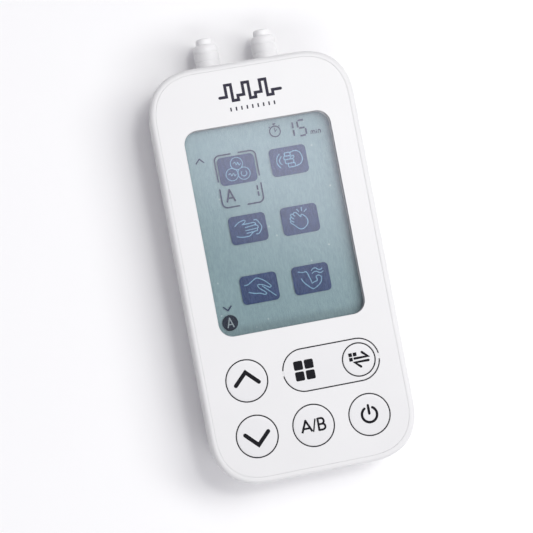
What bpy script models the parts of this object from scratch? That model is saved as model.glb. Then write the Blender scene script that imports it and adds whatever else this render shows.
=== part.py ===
"""A hand-held TENS unit: a two-channel nerve stimulator with a display, six keys and two lead plugs.

The unit lies on its back. +Z comes out of the face, +Y points to the end with the lead plugs, +X is to
the right. The origin is the middle of the flat back. Lengths below are in millimetres, and each mesh is
turned into metres when its object is made.
"""

import math

import bmesh
import bpy
from mathutils import Matrix, Vector

MM = 0.001

# Casing
BODY_WIDTH = 60.0
BODY_LENGTH = 120.0
BODY_DEPTH = 20.0
CORNER_RADIUS = 15.75
CORNER_POWER = 2.5
CORNER_STEPS = 8
REAR_TOP_CORNER_RADIUS = 17.5
WALL = 2.0
PARTING_HEIGHT = 18.0
FACE_EDGE_RADIUS = 1.25
FACE_EDGE_STEPS = 4
BACK_TAPER = 7.5
BACK_TAPER_POWER = 2.1
GAP = 0.3

# Face plate of the front shell, the inset panel on it and the skirt below it
SEAM_INSET = 1.75
PANEL_THICKNESS = 0.8
PLATE_THICKNESS = 1.5
SKIRT_INSET = 2.3
SKIRT_THICKNESS = 1.2
SKIRT_DEPTH = 2.8

# Display
WINDOW_SIZE = (43.0, 59.7)
WINDOW_Y = 12.3
WINDOW_RADIUS = 4.0
WINDOW_LEDGE = 1.0
WINDOW_RECESS = 0.3
WINDOW_FLANGE = 0.4
WINDOW_LEDGE_HEIGHT = 18.2
GLASS_SIZE = (47.0, 65.0)
GLASS_THICKNESS = 1.7
FRAME_WALL = 1.4

# Keys: name, centre (x, y). The pill-shaped mode key surrounds the swap key.
KEY_RADIUS = 6.0
KEY_HALF_GAP = 0.15
KEY_FLANGE = 0.9
KEY_FLANGE_THICKNESS = 0.7
KEY_BOTTOM = 16.4
ROUND_KEYS = {
    "up": (-16.5, -30.6),
    "down": (-16.5, -46.6),
    "channel": (0.0, -46.6),
    "power": (16.5, -46.6),
}
PILL_CENTRE = (8.3, -30.6)
PILL_SIZE = (28.3, 12.2)
MODE_SWITCH_CENTRE = (0.3, -30.6)
SWAP_CENTRE = (16.45, -30.6)
SWAP_RADIUS = 4.76
SWAP_FLANGE = 0.4
SWITCH_SIZE = 6.0
STEM_RADIUS = 1.5

# Circuit board
BOARD_BOTTOM = 12.7
BOARD_THICKNESS = 1.6
BOARD_INSET = 2.9

# Case screws, two near the plugs and two between the key rows
SCREW_PLACES = ((22.8, 49.6), (-22.8, 49.6), (-24.3, -38.6), (24.3, -38.6))
SCREW_RADIUS = 1.0
SCREW_HOLE_RADIUS = 1.3
SCREW_HEAD_RADIUS = 2.0
SCREW_HEAD_BOTTOM = 3.7
SCREW_HEAD_HEIGHT = 1.5
SCREW_TIP = 17.5
COUNTERBORE_RADIUS = 2.5
COUNTERBORE_TOP = 5.5
BOSS_RADIUS = 2.6

# Lead plugs and their sockets
PLUG_X = 8.65
PLUG_Z = 7.0
BOOT_RADIUS = 3.66
BOOT_TIP_RADIUS = 2.42
BOOT_START = 57.7
BOOT_SHOULDER = 66.1
BOOT_SHOULDER_RISE = 1.9
BOOT_END = 69.9
BOOT_GROOVES = (63.0, 65.55)
PIN_RADIUS = 1.25
PIN_START = 48.0
SOCKET_RECESS = (28.4, 8.2)
SOCKET_RECESS_FLOOR = 57.4
SOCKET_NOSE_RADIUS = 2.3

# Battery bay: three AAA cells side by side, closed by a door that slides off the lower end
CELL_RADIUS = 5.25
CELL_LENGTH = 44.5
CELL_PITCH = 10.9
CELL_Z = 7.1
BAY_HALF_WIDTH = 16.5
BAY_TOP = -3.5
BAY_BOTTOM = -53.0
BAY_WALL = 1.3
BAY_WALL_TOP = 12.3
CONTACT_THICKNESS = 0.4
SPRING_LENGTH = 3.0
SPRING_TURNS = 3
SPRING_RADIUS = 2.9
WIRE_RADIUS = 0.35
DOOR_HALF_WIDTH = 18.6
DOOR_THICKNESS = 1.6
DOOR_TOP_END = -2.6
TONGUE_WIDTH = 1.1
TONGUE_BOTTOM = 0.9

ROUND_STEPS = 28
CELL_STEPS = 24
SMALL_ROUND_STEPS = 16
BEYOND = 3.0

WHITE = (0.84, 0.84, 0.84)
KEY_WHITE = (0.87, 0.87, 0.87)
SHADE_WHITE = (0.78, 0.77, 0.79)


# ---------------------------------------------------------------- outlines


def corner(radius, power, steps):
    """Points of one superellipse corner, from the +X side round to the +Y side, about its own centre."""
    points = []
    for step in range(steps + 1):
        angle = math.pi / 2 * step / steps
        across = abs(math.cos(angle)) ** (2 / power)
        along = abs(math.sin(angle)) ** (2 / power)
        points.append((radius * across, radius * along))
    return points


def rounded(half_x, half_y, radius, centre=(0.0, 0.0), power=2.0, steps=6, top_radius=None):
    """Counter-clockwise outline of a rectangle with rounded corners."""
    points = []
    for side_x, side_y in ((1, 1), (-1, 1), (-1, -1), (1, -1)):
        bend = top_radius if top_radius and side_y > 0 else radius
        arc = corner(bend, power, steps)
        if side_x != side_y:
            arc.reverse()
        for across, along in arc:
            x = centre[0] + side_x * (half_x - bend + across)
            y = centre[1] + side_y * (half_y - bend + along)
            points.append((x, y))
    return [p for i, p in enumerate(points) if math.dist(p, points[i - 1]) > 1e-4]


def circle(centre, radius, steps=ROUND_STEPS):
    """Counter-clockwise circle."""
    turns = [2 * math.pi * step / steps for step in range(steps)]
    return [(centre[0] + radius * math.cos(a), centre[1] + radius * math.sin(a)) for a in turns]


def front_outline(inset):
    """Outline of the front casing, drawn in by inset."""
    return rounded(
        BODY_WIDTH / 2 - inset,
        BODY_LENGTH / 2 - inset,
        CORNER_RADIUS - inset,
        power=CORNER_POWER,
        steps=CORNER_STEPS,
    )


def rear_outline(inset):
    """Outline of the rear casing, whose two upper corners are rounder than the front's."""
    return rounded(
        BODY_WIDTH / 2 - inset,
        BODY_LENGTH / 2 - inset,
        CORNER_RADIUS - inset,
        power=CORNER_POWER,
        steps=CORNER_STEPS,
        top_radius=REAR_TOP_CORNER_RADIUS - inset,
    )


def window_outline(grow):
    """Outline of the display window, grown by grow."""
    half_x = WINDOW_SIZE[0] / 2 + grow
    half_y = WINDOW_SIZE[1] / 2 + grow
    return rounded(half_x, half_y, WINDOW_RADIUS + grow, centre=(0.0, WINDOW_Y))


def pill_outline(grow):
    """Outline of the pill-shaped key, grown by grow."""
    half_x = PILL_SIZE[0] / 2 + grow
    half_y = PILL_SIZE[1] / 2 + grow
    return rounded(half_x, half_y, half_y, centre=PILL_CENTRE)


def rear_inset(height):
    """How far the rear casing's outside is drawn in at a height above the back."""
    down = (PARTING_HEIGHT - GAP - height) / (PARTING_HEIGHT - GAP)
    return BACK_TAPER * (1 - (1 - down**BACK_TAPER_POWER) ** (1 / BACK_TAPER_POWER))


# ---------------------------------------------------------------- mesh building


def add_loft(mesh, rings):
    """Adds a closed solid through rings of equal point counts, each (outline, height), lowest first."""
    loops = [[mesh.verts.new((x, y, z)) for x, y in outline] for outline, z in rings]
    for lower, upper in zip(loops, loops[1:]):
        for i in range(len(lower)):
            mesh.faces.new((lower[i - 1], lower[i], upper[i], upper[i - 1]))
    mesh.faces.new(list(reversed(loops[0])))
    mesh.faces.new(loops[-1])


def add_prism(mesh, outline, bottom, top):
    """Adds an upright prism."""
    add_loft(mesh, [(outline, bottom), (outline, top)])


def add_box(mesh, low, high):
    """Adds a box between two opposite corners."""
    outline = [(low[0], low[1]), (high[0], low[1]), (high[0], high[1]), (low[0], high[1])]
    add_prism(mesh, outline, low[2], high[2])


def add_turned(mesh, profile, steps=ROUND_STEPS, place=None):
    """Adds a turned solid. The profile is (radius, height) from its lowest point on the axis to its top."""
    place = place or Matrix()
    loops = []
    for radius, height in profile:
        if radius < 1e-6:
            loops.append([mesh.verts.new(place @ Vector((0, 0, height)))])
            continue
        ring = circle((0, 0), radius, steps)
        loops.append([mesh.verts.new(place @ Vector((x, y, height))) for x, y in ring])
    for lower, upper in zip(loops, loops[1:]):
        for i in range(steps):
            sides = ((lower, i - 1), (lower, i), (upper, i), (upper, i - 1))
            corners = [loop[at % len(loop)] for loop, at in sides]
            mesh.faces.new(list(dict.fromkeys(corners)))


def along_y(x, y, z):
    """Turns a local +Z axis to +Y, with its origin at a place."""
    return Matrix.Translation((x, y, z)) @ Matrix.Rotation(-math.pi / 2, 4, "X")


def material(name, colour, roughness, metallic=0.0, alpha=1.0):
    """A Principled material, made once for each name."""
    found = bpy.data.materials.get(name)
    if found:
        return found
    made = bpy.data.materials.new(name)
    made.use_nodes = True
    shader = made.node_tree.nodes["Principled BSDF"]
    shader.inputs["Base Color"].default_value = (*colour, 1.0)
    shader.inputs["Roughness"].default_value = roughness
    shader.inputs["Metallic"].default_value = metallic
    shader.inputs["Alpha"].default_value = alpha
    made.diffuse_color = (*colour, alpha)
    return made


def make(name, mesh, finish, origin=(0.0, 0.0, 0.0)):
    """Turns a mesh in millimetres into an object in metres, with its own origin."""
    shift = Matrix.Translation(-Vector(origin))
    bmesh.ops.transform(mesh, matrix=Matrix.Scale(MM, 4) @ shift, verts=mesh.verts)
    bmesh.ops.recalc_face_normals(mesh, faces=mesh.faces)
    data = bpy.data.meshes.new(name)
    mesh.to_mesh(data)
    mesh.free()
    data.shade_smooth()
    data.set_sharp_from_angle(angle=math.radians(30))
    made = bpy.data.objects.new(name, data)
    made.location = Vector(origin) * MM
    made.parent = ROOT
    bpy.context.scene.collection.objects.link(made)
    if finish:
        data.materials.append(finish)
    return made


def helper(name, mesh):
    """A hidden object that only shapes others."""
    made = make(name, mesh, None)
    made.hide_render = True
    made.display_type = "WIRE"
    return made


def shape(target, operation, tool):
    """Adds a Boolean to an object."""
    added = target.modifiers.new(tool.name, "BOOLEAN")
    added.operation = operation
    added.solver = "EXACT"
    added.use_self = True
    added.object = tool


# ---------------------------------------------------------------- casing


def rear_solid(mesh, wall, lowest):
    """Adds the rear casing's outside, or with a wall, the room inside it."""
    top = PARTING_HEIGHT - GAP
    heights = [0.0, 0.3, 1.0, 2.0, 3.5, 5.5, 8.0, 11.0, 14.5, top]
    rings = [(rear_outline(rear_inset(z) + wall), z) for z in heights if z >= lowest]
    if wall:
        rings.append((rings[-1][0], top + BEYOND))
    add_loft(mesh, rings)


def screw_bores(mesh, radius, bottom, top):
    """Adds a cylinder at each case screw."""
    for place in SCREW_PLACES:
        add_prism(mesh, circle(place, radius, SMALL_ROUND_STEPS), bottom, top)


def key_holes(mesh, bottom, top):
    """Adds the openings that the keys stand in."""
    for centre in ROUND_KEYS.values():
        add_prism(mesh, circle(centre, KEY_RADIUS + KEY_HALF_GAP), bottom, top)
    add_prism(mesh, pill_outline(KEY_HALF_GAP), bottom, top)


def make_front_shell():
    """The front casing: rim, face plate, skirt and the four bosses under it."""
    plate_top = BODY_DEPTH - PANEL_THICKNESS - GAP
    plate_bottom = plate_top - PLATE_THICKNESS
    skirt_bottom = PARTING_HEIGHT - SKIRT_DEPTH
    rings = [
        (rear_outline(SKIRT_INSET), skirt_bottom),
        (rear_outline(SKIRT_INSET), PARTING_HEIGHT),
        (front_outline(0), PARTING_HEIGHT),
    ]
    for step in range(FACE_EDGE_STEPS + 1):
        angle = math.pi / 2 * step / FACE_EDGE_STEPS
        inset = FACE_EDGE_RADIUS * (1 - math.cos(angle))
        height = BODY_DEPTH - FACE_EDGE_RADIUS * (1 - math.sin(angle))
        rings.append((front_outline(inset), height))
    mesh = bmesh.new()
    add_loft(mesh, rings)
    shell = make("front_shell", mesh, material("front_shell", WHITE, 0.42))

    mesh = bmesh.new()
    add_prism(mesh, rear_outline(SKIRT_INSET + SKIRT_THICKNESS), skirt_bottom - BEYOND, plate_bottom)
    add_prism(mesh, front_outline(SEAM_INSET - GAP / 2), plate_top, BODY_DEPTH + BEYOND)
    shape(shell, "DIFFERENCE", helper("cut_front_room", mesh))

    mesh = bmesh.new()
    board_top = BOARD_BOTTOM + BOARD_THICKNESS
    screw_bores(mesh, BOSS_RADIUS, board_top + GAP, plate_bottom + 0.4)
    shape(shell, "UNION", helper("front_bosses", mesh))

    mesh = bmesh.new()
    screw_bores(mesh, SCREW_HOLE_RADIUS, board_top - BEYOND, SCREW_TIP + GAP)
    add_prism(mesh, window_outline(0), plate_bottom - BEYOND, WINDOW_LEDGE_HEIGHT + 0.1)
    add_prism(mesh, window_outline(WINDOW_LEDGE + GAP), WINDOW_LEDGE_HEIGHT, BODY_DEPTH + BEYOND)
    key_holes(mesh, plate_bottom - BEYOND, BODY_DEPTH + BEYOND)
    shape(shell, "DIFFERENCE", helper("cut_front_openings", mesh))


def make_face_panel():
    """The flat inset panel that frames the window and the keys."""
    bottom = BODY_DEPTH - PANEL_THICKNESS
    mesh = bmesh.new()
    add_prism(mesh, front_outline(SEAM_INSET + GAP / 2), bottom, BODY_DEPTH)
    panel = make("face_panel", mesh, material("face_panel", WHITE, 0.38))
    mesh = bmesh.new()
    add_prism(mesh, window_outline(0), bottom - BEYOND, BODY_DEPTH + BEYOND)
    key_holes(mesh, bottom - BEYOND, BODY_DEPTH + BEYOND)
    shape(panel, "DIFFERENCE", helper("cut_panel_openings", mesh))


def door_zone(mesh, clearance, end):
    """Adds the space that the battery door slides in: a plate with a tongue along each side."""
    width = DOOR_HALF_WIDTH + clearance
    tongue = DOOR_HALF_WIDTH + TONGUE_WIDTH + clearance
    low = TONGUE_BOTTOM - clearance
    high = DOOR_THICKNESS + clearance
    section = [(width, -BEYOND), (width, low), (tongue, low), (tongue, high)]
    section += [(-x, z) for x, z in reversed(section)]
    stand = Matrix.Translation((0, end, 0)) @ Matrix.Rotation(math.pi / 2, 4, "X")
    before = set(mesh.verts)
    add_prism(mesh, section, 0.0, BODY_LENGTH)
    bmesh.ops.transform(mesh, matrix=stand, verts=[v for v in mesh.verts if v not in before])


def make_rear_shell():
    """The rear casing: a bowl with the battery bay's walls, the socket block and the screw bosses."""
    mesh = bmesh.new()
    rear_solid(mesh, 0.0, 0.0)
    shell = make("rear_shell", mesh, material("rear_shell", SHADE_WHITE, 0.45))

    mesh = bmesh.new()
    rear_solid(mesh, WALL, WALL)
    room = helper("cut_rear_room", mesh)

    mesh = bmesh.new()
    floor = WALL - 0.05
    rail_top = DOOR_THICKNESS + WALL - 0.4
    outer = DOOR_HALF_WIDTH + TONGUE_WIDTH + 1.3
    end_wall = BAY_TOP + 2.3
    for side in (-1, 1):
        low_x, high_x = sorted((side * BAY_HALF_WIDTH, side * outer))
        add_box(mesh, (low_x, -BODY_LENGTH / 2, floor), (high_x, end_wall, rail_top))
        low_x, high_x = sorted((side * BAY_HALF_WIDTH, side * (BAY_HALF_WIDTH + BAY_WALL)))
        add_box(mesh, (low_x, BAY_BOTTOM - BAY_WALL, floor), (high_x, end_wall, BAY_WALL_TOP))
    bay_side = BAY_HALF_WIDTH + BAY_WALL
    add_box(mesh, (-bay_side, BAY_TOP, floor), (bay_side, end_wall, BAY_WALL_TOP))
    add_box(mesh, (-bay_side, BAY_BOTTOM - BAY_WALL, floor), (bay_side, BAY_BOTTOM, BAY_WALL_TOP))
    add_box(mesh, (-outer, -BODY_LENGTH / 2, floor), (outer, BAY_BOTTOM, rail_top))
    screw_bores(mesh, BOSS_RADIUS, floor, BOARD_BOTTOM - GAP)
    block_x = SOCKET_RECESS[0] / 2 + 1.2
    add_box(mesh, (-block_x, SOCKET_RECESS_FLOOR - 1.9, floor), (block_x, BODY_LENGTH / 2, BAY_WALL_TOP))
    shape(room, "DIFFERENCE", helper("rear_features", mesh))
    shape(shell, "DIFFERENCE", room)

    mesh = bmesh.new()
    door_zone(mesh, GAP, DOOR_TOP_END + GAP)
    add_box(
        mesh,
        (-BAY_HALF_WIDTH, BAY_BOTTOM, DOOR_THICKNESS),
        (BAY_HALF_WIDTH, BAY_TOP, rail_top + BEYOND),
    )
    screw_bores(mesh, SCREW_HOLE_RADIUS, COUNTERBORE_TOP - 0.1, BOARD_BOTTOM + BEYOND)
    screw_bores(mesh, COUNTERBORE_RADIUS, -BEYOND, COUNTERBORE_TOP)
    shape(shell, "DIFFERENCE", helper("cut_rear_openings", mesh))

    mesh = bmesh.new()
    recess = rounded(SOCKET_RECESS[0] / 2, SOCKET_RECESS[1] / 2, 2.0, steps=4)
    add_prism(mesh, recess, SOCKET_RECESS_FLOOR, BODY_LENGTH)
    for side in (-1, 1):
        nose = circle((side * PLUG_X, 0.0), SOCKET_NOSE_RADIUS + GAP, SMALL_ROUND_STEPS)
        add_prism(mesh, nose, SOCKET_RECESS_FLOOR - 2 * WALL, SOCKET_RECESS_FLOOR + 0.1)
    bmesh.ops.transform(mesh, matrix=along_y(0, 0, PLUG_Z), verts=mesh.verts)
    shape(shell, "DIFFERENCE", helper("cut_socket_recess", mesh))


def make_battery_door():
    """The sliding door: the slice of the rear casing's outside that lies in its slide."""
    mesh = bmesh.new()
    rear_solid(mesh, 0.0, 0.0)
    door = make("battery_door", mesh, material("battery_door", SHADE_WHITE, 0.45))
    mesh = bmesh.new()
    door_zone(mesh, 0.0, DOOR_TOP_END)
    shape(door, "INTERSECT", helper("keep_door", mesh))
    mesh = bmesh.new()
    for row in range(4):
        middle = DOOR_TOP_END - 5.0 - 1.8 * row
        add_box(mesh, (-6.0, middle - 0.45, -BEYOND), (6.0, middle + 0.45, 0.4))
    shape(door, "DIFFERENCE", helper("cut_thumb_grooves", mesh))


# ---------------------------------------------------------------- display


def make_display():
    """Window, display glass, reflector, connector strip and the frame that holds them."""
    plate_bottom = BODY_DEPTH - PANEL_THICKNESS - GAP - PLATE_THICKNESS
    flange_bottom = WINDOW_LEDGE_HEIGHT + 0.15
    mesh = bmesh.new()
    add_loft(
        mesh,
        [
            (window_outline(WINDOW_LEDGE), flange_bottom),
            (window_outline(WINDOW_LEDGE), flange_bottom + WINDOW_FLANGE),
            (window_outline(-GAP), flange_bottom + WINDOW_FLANGE),
            (window_outline(-GAP), BODY_DEPTH - WINDOW_RECESS),
        ],
    )
    clear = material("display_window", (0.9, 0.93, 0.95), 0.05, alpha=0.25)
    make("display_window", mesh, clear)

    glass_top = plate_bottom - GAP
    glass_bottom = glass_top - GLASS_THICKNESS
    board_top = BOARD_BOTTOM + BOARD_THICKNESS
    half_x = GLASS_SIZE[0] / 2
    half_y = GLASS_SIZE[1] / 2
    mesh = bmesh.new()
    add_prism(mesh, rounded(half_x, half_y, 1.0, (0, WINDOW_Y), steps=3), glass_bottom, glass_top)
    make("lcd_glass", mesh, material("lcd_glass", (0.36, 0.45, 0.49), 0.25))

    sheet_low = WINDOW_Y - half_y + 3.0
    mesh = bmesh.new()
    add_box(mesh, (-half_x, sheet_low, board_top + 0.4), (half_x, WINDOW_Y + half_y, board_top + 0.8))
    make("lcd_reflector", mesh, material("lcd_reflector", (0.6, 0.62, 0.63), 0.3, 0.6))

    strip_low = WINDOW_Y - half_y + 0.5
    mesh = bmesh.new()
    add_box(mesh, (-20.0, strip_low, board_top + GAP), (20.0, strip_low + 2.0, glass_bottom - GAP))
    make("lcd_connector", mesh, material("lcd_connector", (0.7, 0.68, 0.66), 0.6))

    inner_x = half_x + GAP
    inner_y = half_y + GAP
    outer = rounded(inner_x + FRAME_WALL, inner_y + FRAME_WALL, 2.5, (0, WINDOW_Y), steps=3)
    inner = rounded(inner_x, inner_y, 1.1, (0, WINDOW_Y), steps=3)
    mesh = bmesh.new()
    add_prism(mesh, outer, board_top + GAP, glass_top)
    frame = make("lcd_frame", mesh, material("lcd_frame", (0.72, 0.72, 0.72), 0.5))
    mesh = bmesh.new()
    add_prism(mesh, inner, board_top, glass_top + BEYOND)
    shape(frame, "DIFFERENCE", helper("cut_lcd_frame", mesh))


# ---------------------------------------------------------------- keys and switches


def key_rings(cap, flange, edge):
    """Rings of a key: its flange below the face plate, then its cap with a small rounded edge."""
    flange_top = KEY_BOTTOM + KEY_FLANGE_THICKNESS
    return [
        (flange, KEY_BOTTOM),
        (flange, flange_top),
        (cap, flange_top),
        (cap, BODY_DEPTH - 0.15),
        (edge, BODY_DEPTH),
    ]


def make_switch(name, centre):
    """The tact switch under a key and its plunger, whose origin is on the key's axis."""
    base = BOARD_BOTTOM + BOARD_THICKNESS + GAP
    top = base + 1.2
    half = SWITCH_SIZE / 2
    mesh = bmesh.new()
    low = (centre[0] - half, centre[1] - half, base)
    high = (centre[0] + half, centre[1] + half, top)
    add_box(mesh, low, high)
    body = make("switch_" + name, mesh, material("switch_body", (0.05, 0.05, 0.05), 0.5))
    mesh = bmesh.new()
    add_prism(mesh, circle(centre, STEM_RADIUS + GAP, SMALL_ROUND_STEPS), base + 0.2, top + BEYOND)
    shape(body, "DIFFERENCE", helper("cut_switch_" + name, mesh))
    mesh = bmesh.new()
    add_prism(mesh, circle(centre, STEM_RADIUS, SMALL_ROUND_STEPS), base + 0.7, KEY_BOTTOM - GAP)
    origin = (centre[0], centre[1], KEY_BOTTOM)
    make("switch_stem_" + name, mesh, material("switch_stem", (0.8, 0.78, 0.7), 0.4), origin)


def make_round_key(name, centre, radius, flange):
    """A round key."""
    cap = radius - KEY_HALF_GAP
    rings = key_rings(
        circle(centre, cap),
        circle(centre, cap + flange),
        circle(centre, cap - 0.1),
    )
    mesh = bmesh.new()
    add_loft(mesh, rings)
    origin = (centre[0], centre[1], KEY_BOTTOM)
    make("key_" + name, mesh, material("key", KEY_WHITE, 0.4), origin)
    make_switch(name, centre)


def make_mode_key():
    """The pill-shaped key, with a stepped hole that the swap key moves in."""
    rings = key_rings(
        pill_outline(-KEY_HALF_GAP),
        pill_outline(KEY_FLANGE - KEY_HALF_GAP),
        pill_outline(-KEY_HALF_GAP - 0.1),
    )
    mesh = bmesh.new()
    add_loft(mesh, rings)
    origin = (MODE_SWITCH_CENTRE[0], MODE_SWITCH_CENTRE[1], KEY_BOTTOM)
    key = make("key_mode", mesh, material("key", KEY_WHITE, 0.4), origin)
    hole = SWAP_RADIUS + KEY_HALF_GAP
    flange_room = KEY_BOTTOM + KEY_FLANGE_THICKNESS + 0.7
    mesh = bmesh.new()
    add_loft(
        mesh,
        [
            (circle(SWAP_CENTRE, hole + SWAP_FLANGE), KEY_BOTTOM - BEYOND),
            (circle(SWAP_CENTRE, hole + SWAP_FLANGE), flange_room),
            (circle(SWAP_CENTRE, hole), flange_room),
            (circle(SWAP_CENTRE, hole), BODY_DEPTH + BEYOND),
        ],
    )
    shape(key, "DIFFERENCE", helper("cut_mode_key", mesh))
    make_switch("mode", MODE_SWITCH_CENTRE)


# ---------------------------------------------------------------- electronics


def make_board():
    """The circuit board and the parts under it."""
    top = BOARD_BOTTOM + BOARD_THICKNESS
    mesh = bmesh.new()
    add_prism(mesh, rear_outline(BOARD_INSET), BOARD_BOTTOM, top)
    board = make("main_board", mesh, material("main_board", (0.02, 0.16, 0.07), 0.45))
    mesh = bmesh.new()
    screw_bores(mesh, SCREW_HOLE_RADIUS, BOARD_BOTTOM - BEYOND, top + BEYOND)
    shape(board, "DIFFERENCE", helper("cut_board_holes", mesh))

    hang = BOARD_BOTTOM - GAP
    mesh = bmesh.new()
    add_box(mesh, (-5.0, 31.0, hang - 1.2), (5.0, 41.0, hang))
    make("controller_chip", mesh, material("controller_chip", (0.03, 0.03, 0.03), 0.5))

    mesh = bmesh.new()
    buzzer = [(0, 0), (4.5, 0), (4.5, 4.0), (1.0, 4.0), (1.0, 3.2), (0, 3.2)]
    flipped = Matrix.Translation((-15.5, 37.0, hang)) @ Matrix.Rotation(math.pi, 4, "X")
    add_turned(mesh, buzzer, SMALL_ROUND_STEPS, flipped)
    make("buzzer", mesh, material("buzzer", (0.04, 0.04, 0.04), 0.45))

    mesh = bmesh.new()
    can = [(0, 0), (3.0, 0), (3.0, 1.0), (2.75, 1.3), (3.0, 1.6), (3.0, 7.6), (2.6, 8.0), (0, 8.0)]
    flipped = Matrix.Translation((15.0, 38.5, hang)) @ Matrix.Rotation(math.pi, 4, "X")
    add_turned(mesh, can, SMALL_ROUND_STEPS, flipped)
    make("reservoir_capacitor", mesh, material("reservoir_capacitor", (0.08, 0.1, 0.2), 0.4))

    mesh = bmesh.new()
    coil = [(0, 0), (3.6, 0), (3.6, 0.9), (2.6, 0.9), (2.6, 3.6), (3.6, 3.6), (3.6, 4.5), (0, 4.5)]
    flipped = Matrix.Translation((0.0, 6.5, hang)) @ Matrix.Rotation(math.pi, 4, "X")
    add_turned(mesh, coil, SMALL_ROUND_STEPS, flipped)
    make("boost_inductor", mesh, material("boost_inductor", (0.06, 0.055, 0.05), 0.6))


def make_transformer(side, name):
    """One output channel's pulse transformer: a two-window core and the winding on its middle leg."""
    x = side * 11.0
    y = 20.0
    z = BOARD_BOTTOM - GAP - 4.4
    half_y = 5.5
    mesh = bmesh.new()
    add_box(mesh, (x - 7, y - half_y, z - 2), (x + 7, y + half_y, z + 2))
    ferrite = material("transformer_core", (0.05, 0.05, 0.055), 0.6)
    core = make("transformer_core_" + name, mesh, ferrite)
    mesh = bmesh.new()
    for way in (-1, 1):
        low_x, high_x = sorted((x + way * 2.0, x + way * 5.3))
        add_box(mesh, (low_x, y - 3.6, z - BEYOND), (high_x, y + 3.6, z + BEYOND))
    shape(core, "DIFFERENCE", helper("cut_core_" + name, mesh))
    mesh = bmesh.new()
    add_box(mesh, (x - 4.9, y - 3.3, z - 4.2), (x + 4.9, y + 3.3, z + 4.2))
    tape = material("transformer_winding", (0.62, 0.45, 0.1), 0.4)
    winding = make("transformer_winding_" + name, mesh, tape)
    mesh = bmesh.new()
    add_box(mesh, (x - 2.3, y - BEYOND - 2, z - 2.3), (x + 2.3, y + BEYOND + 2, z + 2.3))
    shape(winding, "DIFFERENCE", helper("cut_winding_" + name, mesh))


# ---------------------------------------------------------------- sockets and plugs


def make_socket(side, name):
    """A lead socket behind the top wall, with its nose through the wall."""
    x = side * PLUG_X
    back = 45.0
    front = SOCKET_RECESS_FLOOR - 1.9 - GAP
    mesh = bmesh.new()
    add_box(mesh, (x - 4.2, back, PLUG_Z - 3.0), (x + 4.2, front, PLUG_Z + 4.0))
    black = material("output_socket", (0.06, 0.06, 0.065), 0.45)
    socket = make("output_socket_" + name, mesh, black)
    mesh = bmesh.new()
    reach = SOCKET_RECESS_FLOOR - GAP
    nose = [(0, -1.0), (SOCKET_NOSE_RADIUS, -1.0)]
    nose += [(radius, reach - front) for radius in (SOCKET_NOSE_RADIUS, 0)]
    add_turned(mesh, nose, SMALL_ROUND_STEPS, along_y(x, front, PLUG_Z))
    shape(socket, "UNION", helper("socket_nose_" + name, mesh))
    mesh = bmesh.new()
    depth = PIN_START - 1.0
    bore = circle((0, 0), PIN_RADIUS + GAP, SMALL_ROUND_STEPS)
    add_prism(mesh, bore, depth, BODY_LENGTH)
    bmesh.ops.transform(mesh, matrix=along_y(x, 0, PLUG_Z), verts=mesh.verts)
    shape(socket, "DIFFERENCE", helper("cut_socket_" + name, mesh))


def make_plug(side, name):
    """A lead plug: the stepped boot with two grip grooves, and its metal pin."""
    place = along_y(side * PLUG_X, 0, PLUG_Z)
    origin = (side * PLUG_X, BOOT_START, PLUG_Z)
    pin_seat = BOOT_START + 5.0
    seat_radius = PIN_RADIUS + GAP
    profile = [
        (0, pin_seat),
        (seat_radius, pin_seat),
        (seat_radius, BOOT_START),
        (BOOT_RADIUS - 0.25, BOOT_START),
        (BOOT_RADIUS - 0.05, BOOT_START + 0.2),
    ]
    for groove in BOOT_GROOVES:
        profile += [
            (BOOT_RADIUS, groove - 0.25),
            (BOOT_RADIUS - 0.14, groove),
            (BOOT_RADIUS, groove + 0.25),
        ]
    for step in range(1, 4):
        angle = math.pi / 2 * step / 4
        inward = (BOOT_RADIUS - BOOT_TIP_RADIUS - 0.1) * (1 - math.cos(angle))
        rise = BOOT_SHOULDER_RISE * math.sin(angle)
        profile.append((BOOT_RADIUS - inward, BOOT_SHOULDER + rise))
    profile.append((BOOT_TIP_RADIUS, BOOT_SHOULDER + BOOT_SHOULDER_RISE))
    edge = 0.7
    for step in range(3):
        angle = math.pi / 2 * step / 2
        radius = BOOT_TIP_RADIUS - edge * (1 - math.cos(angle))
        profile.append((radius, BOOT_END - edge * (1 - math.sin(angle))))
    profile.append((0, BOOT_END))
    mesh = bmesh.new()
    add_turned(mesh, profile, CELL_STEPS, place)
    make("plug_boot_" + name, mesh, material("plug_boot", WHITE, 0.45), origin)

    pin_end = pin_seat - GAP
    pin = [
        (0, PIN_START),
        (0.6, PIN_START + 0.15),
        (PIN_RADIUS, PIN_START + 1.1),
        (PIN_RADIUS - 0.35, PIN_START + 1.9),
        (PIN_RADIUS, PIN_START + 2.5),
        (PIN_RADIUS, pin_end),
        (0, pin_end),
    ]
    mesh = bmesh.new()
    add_turned(mesh, pin, SMALL_ROUND_STEPS, place)
    make("plug_pin_" + name, mesh, material("plug_pin", (0.75, 0.75, 0.74), 0.2, 1.0), origin)


# ---------------------------------------------------------------- batteries and screws


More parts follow.
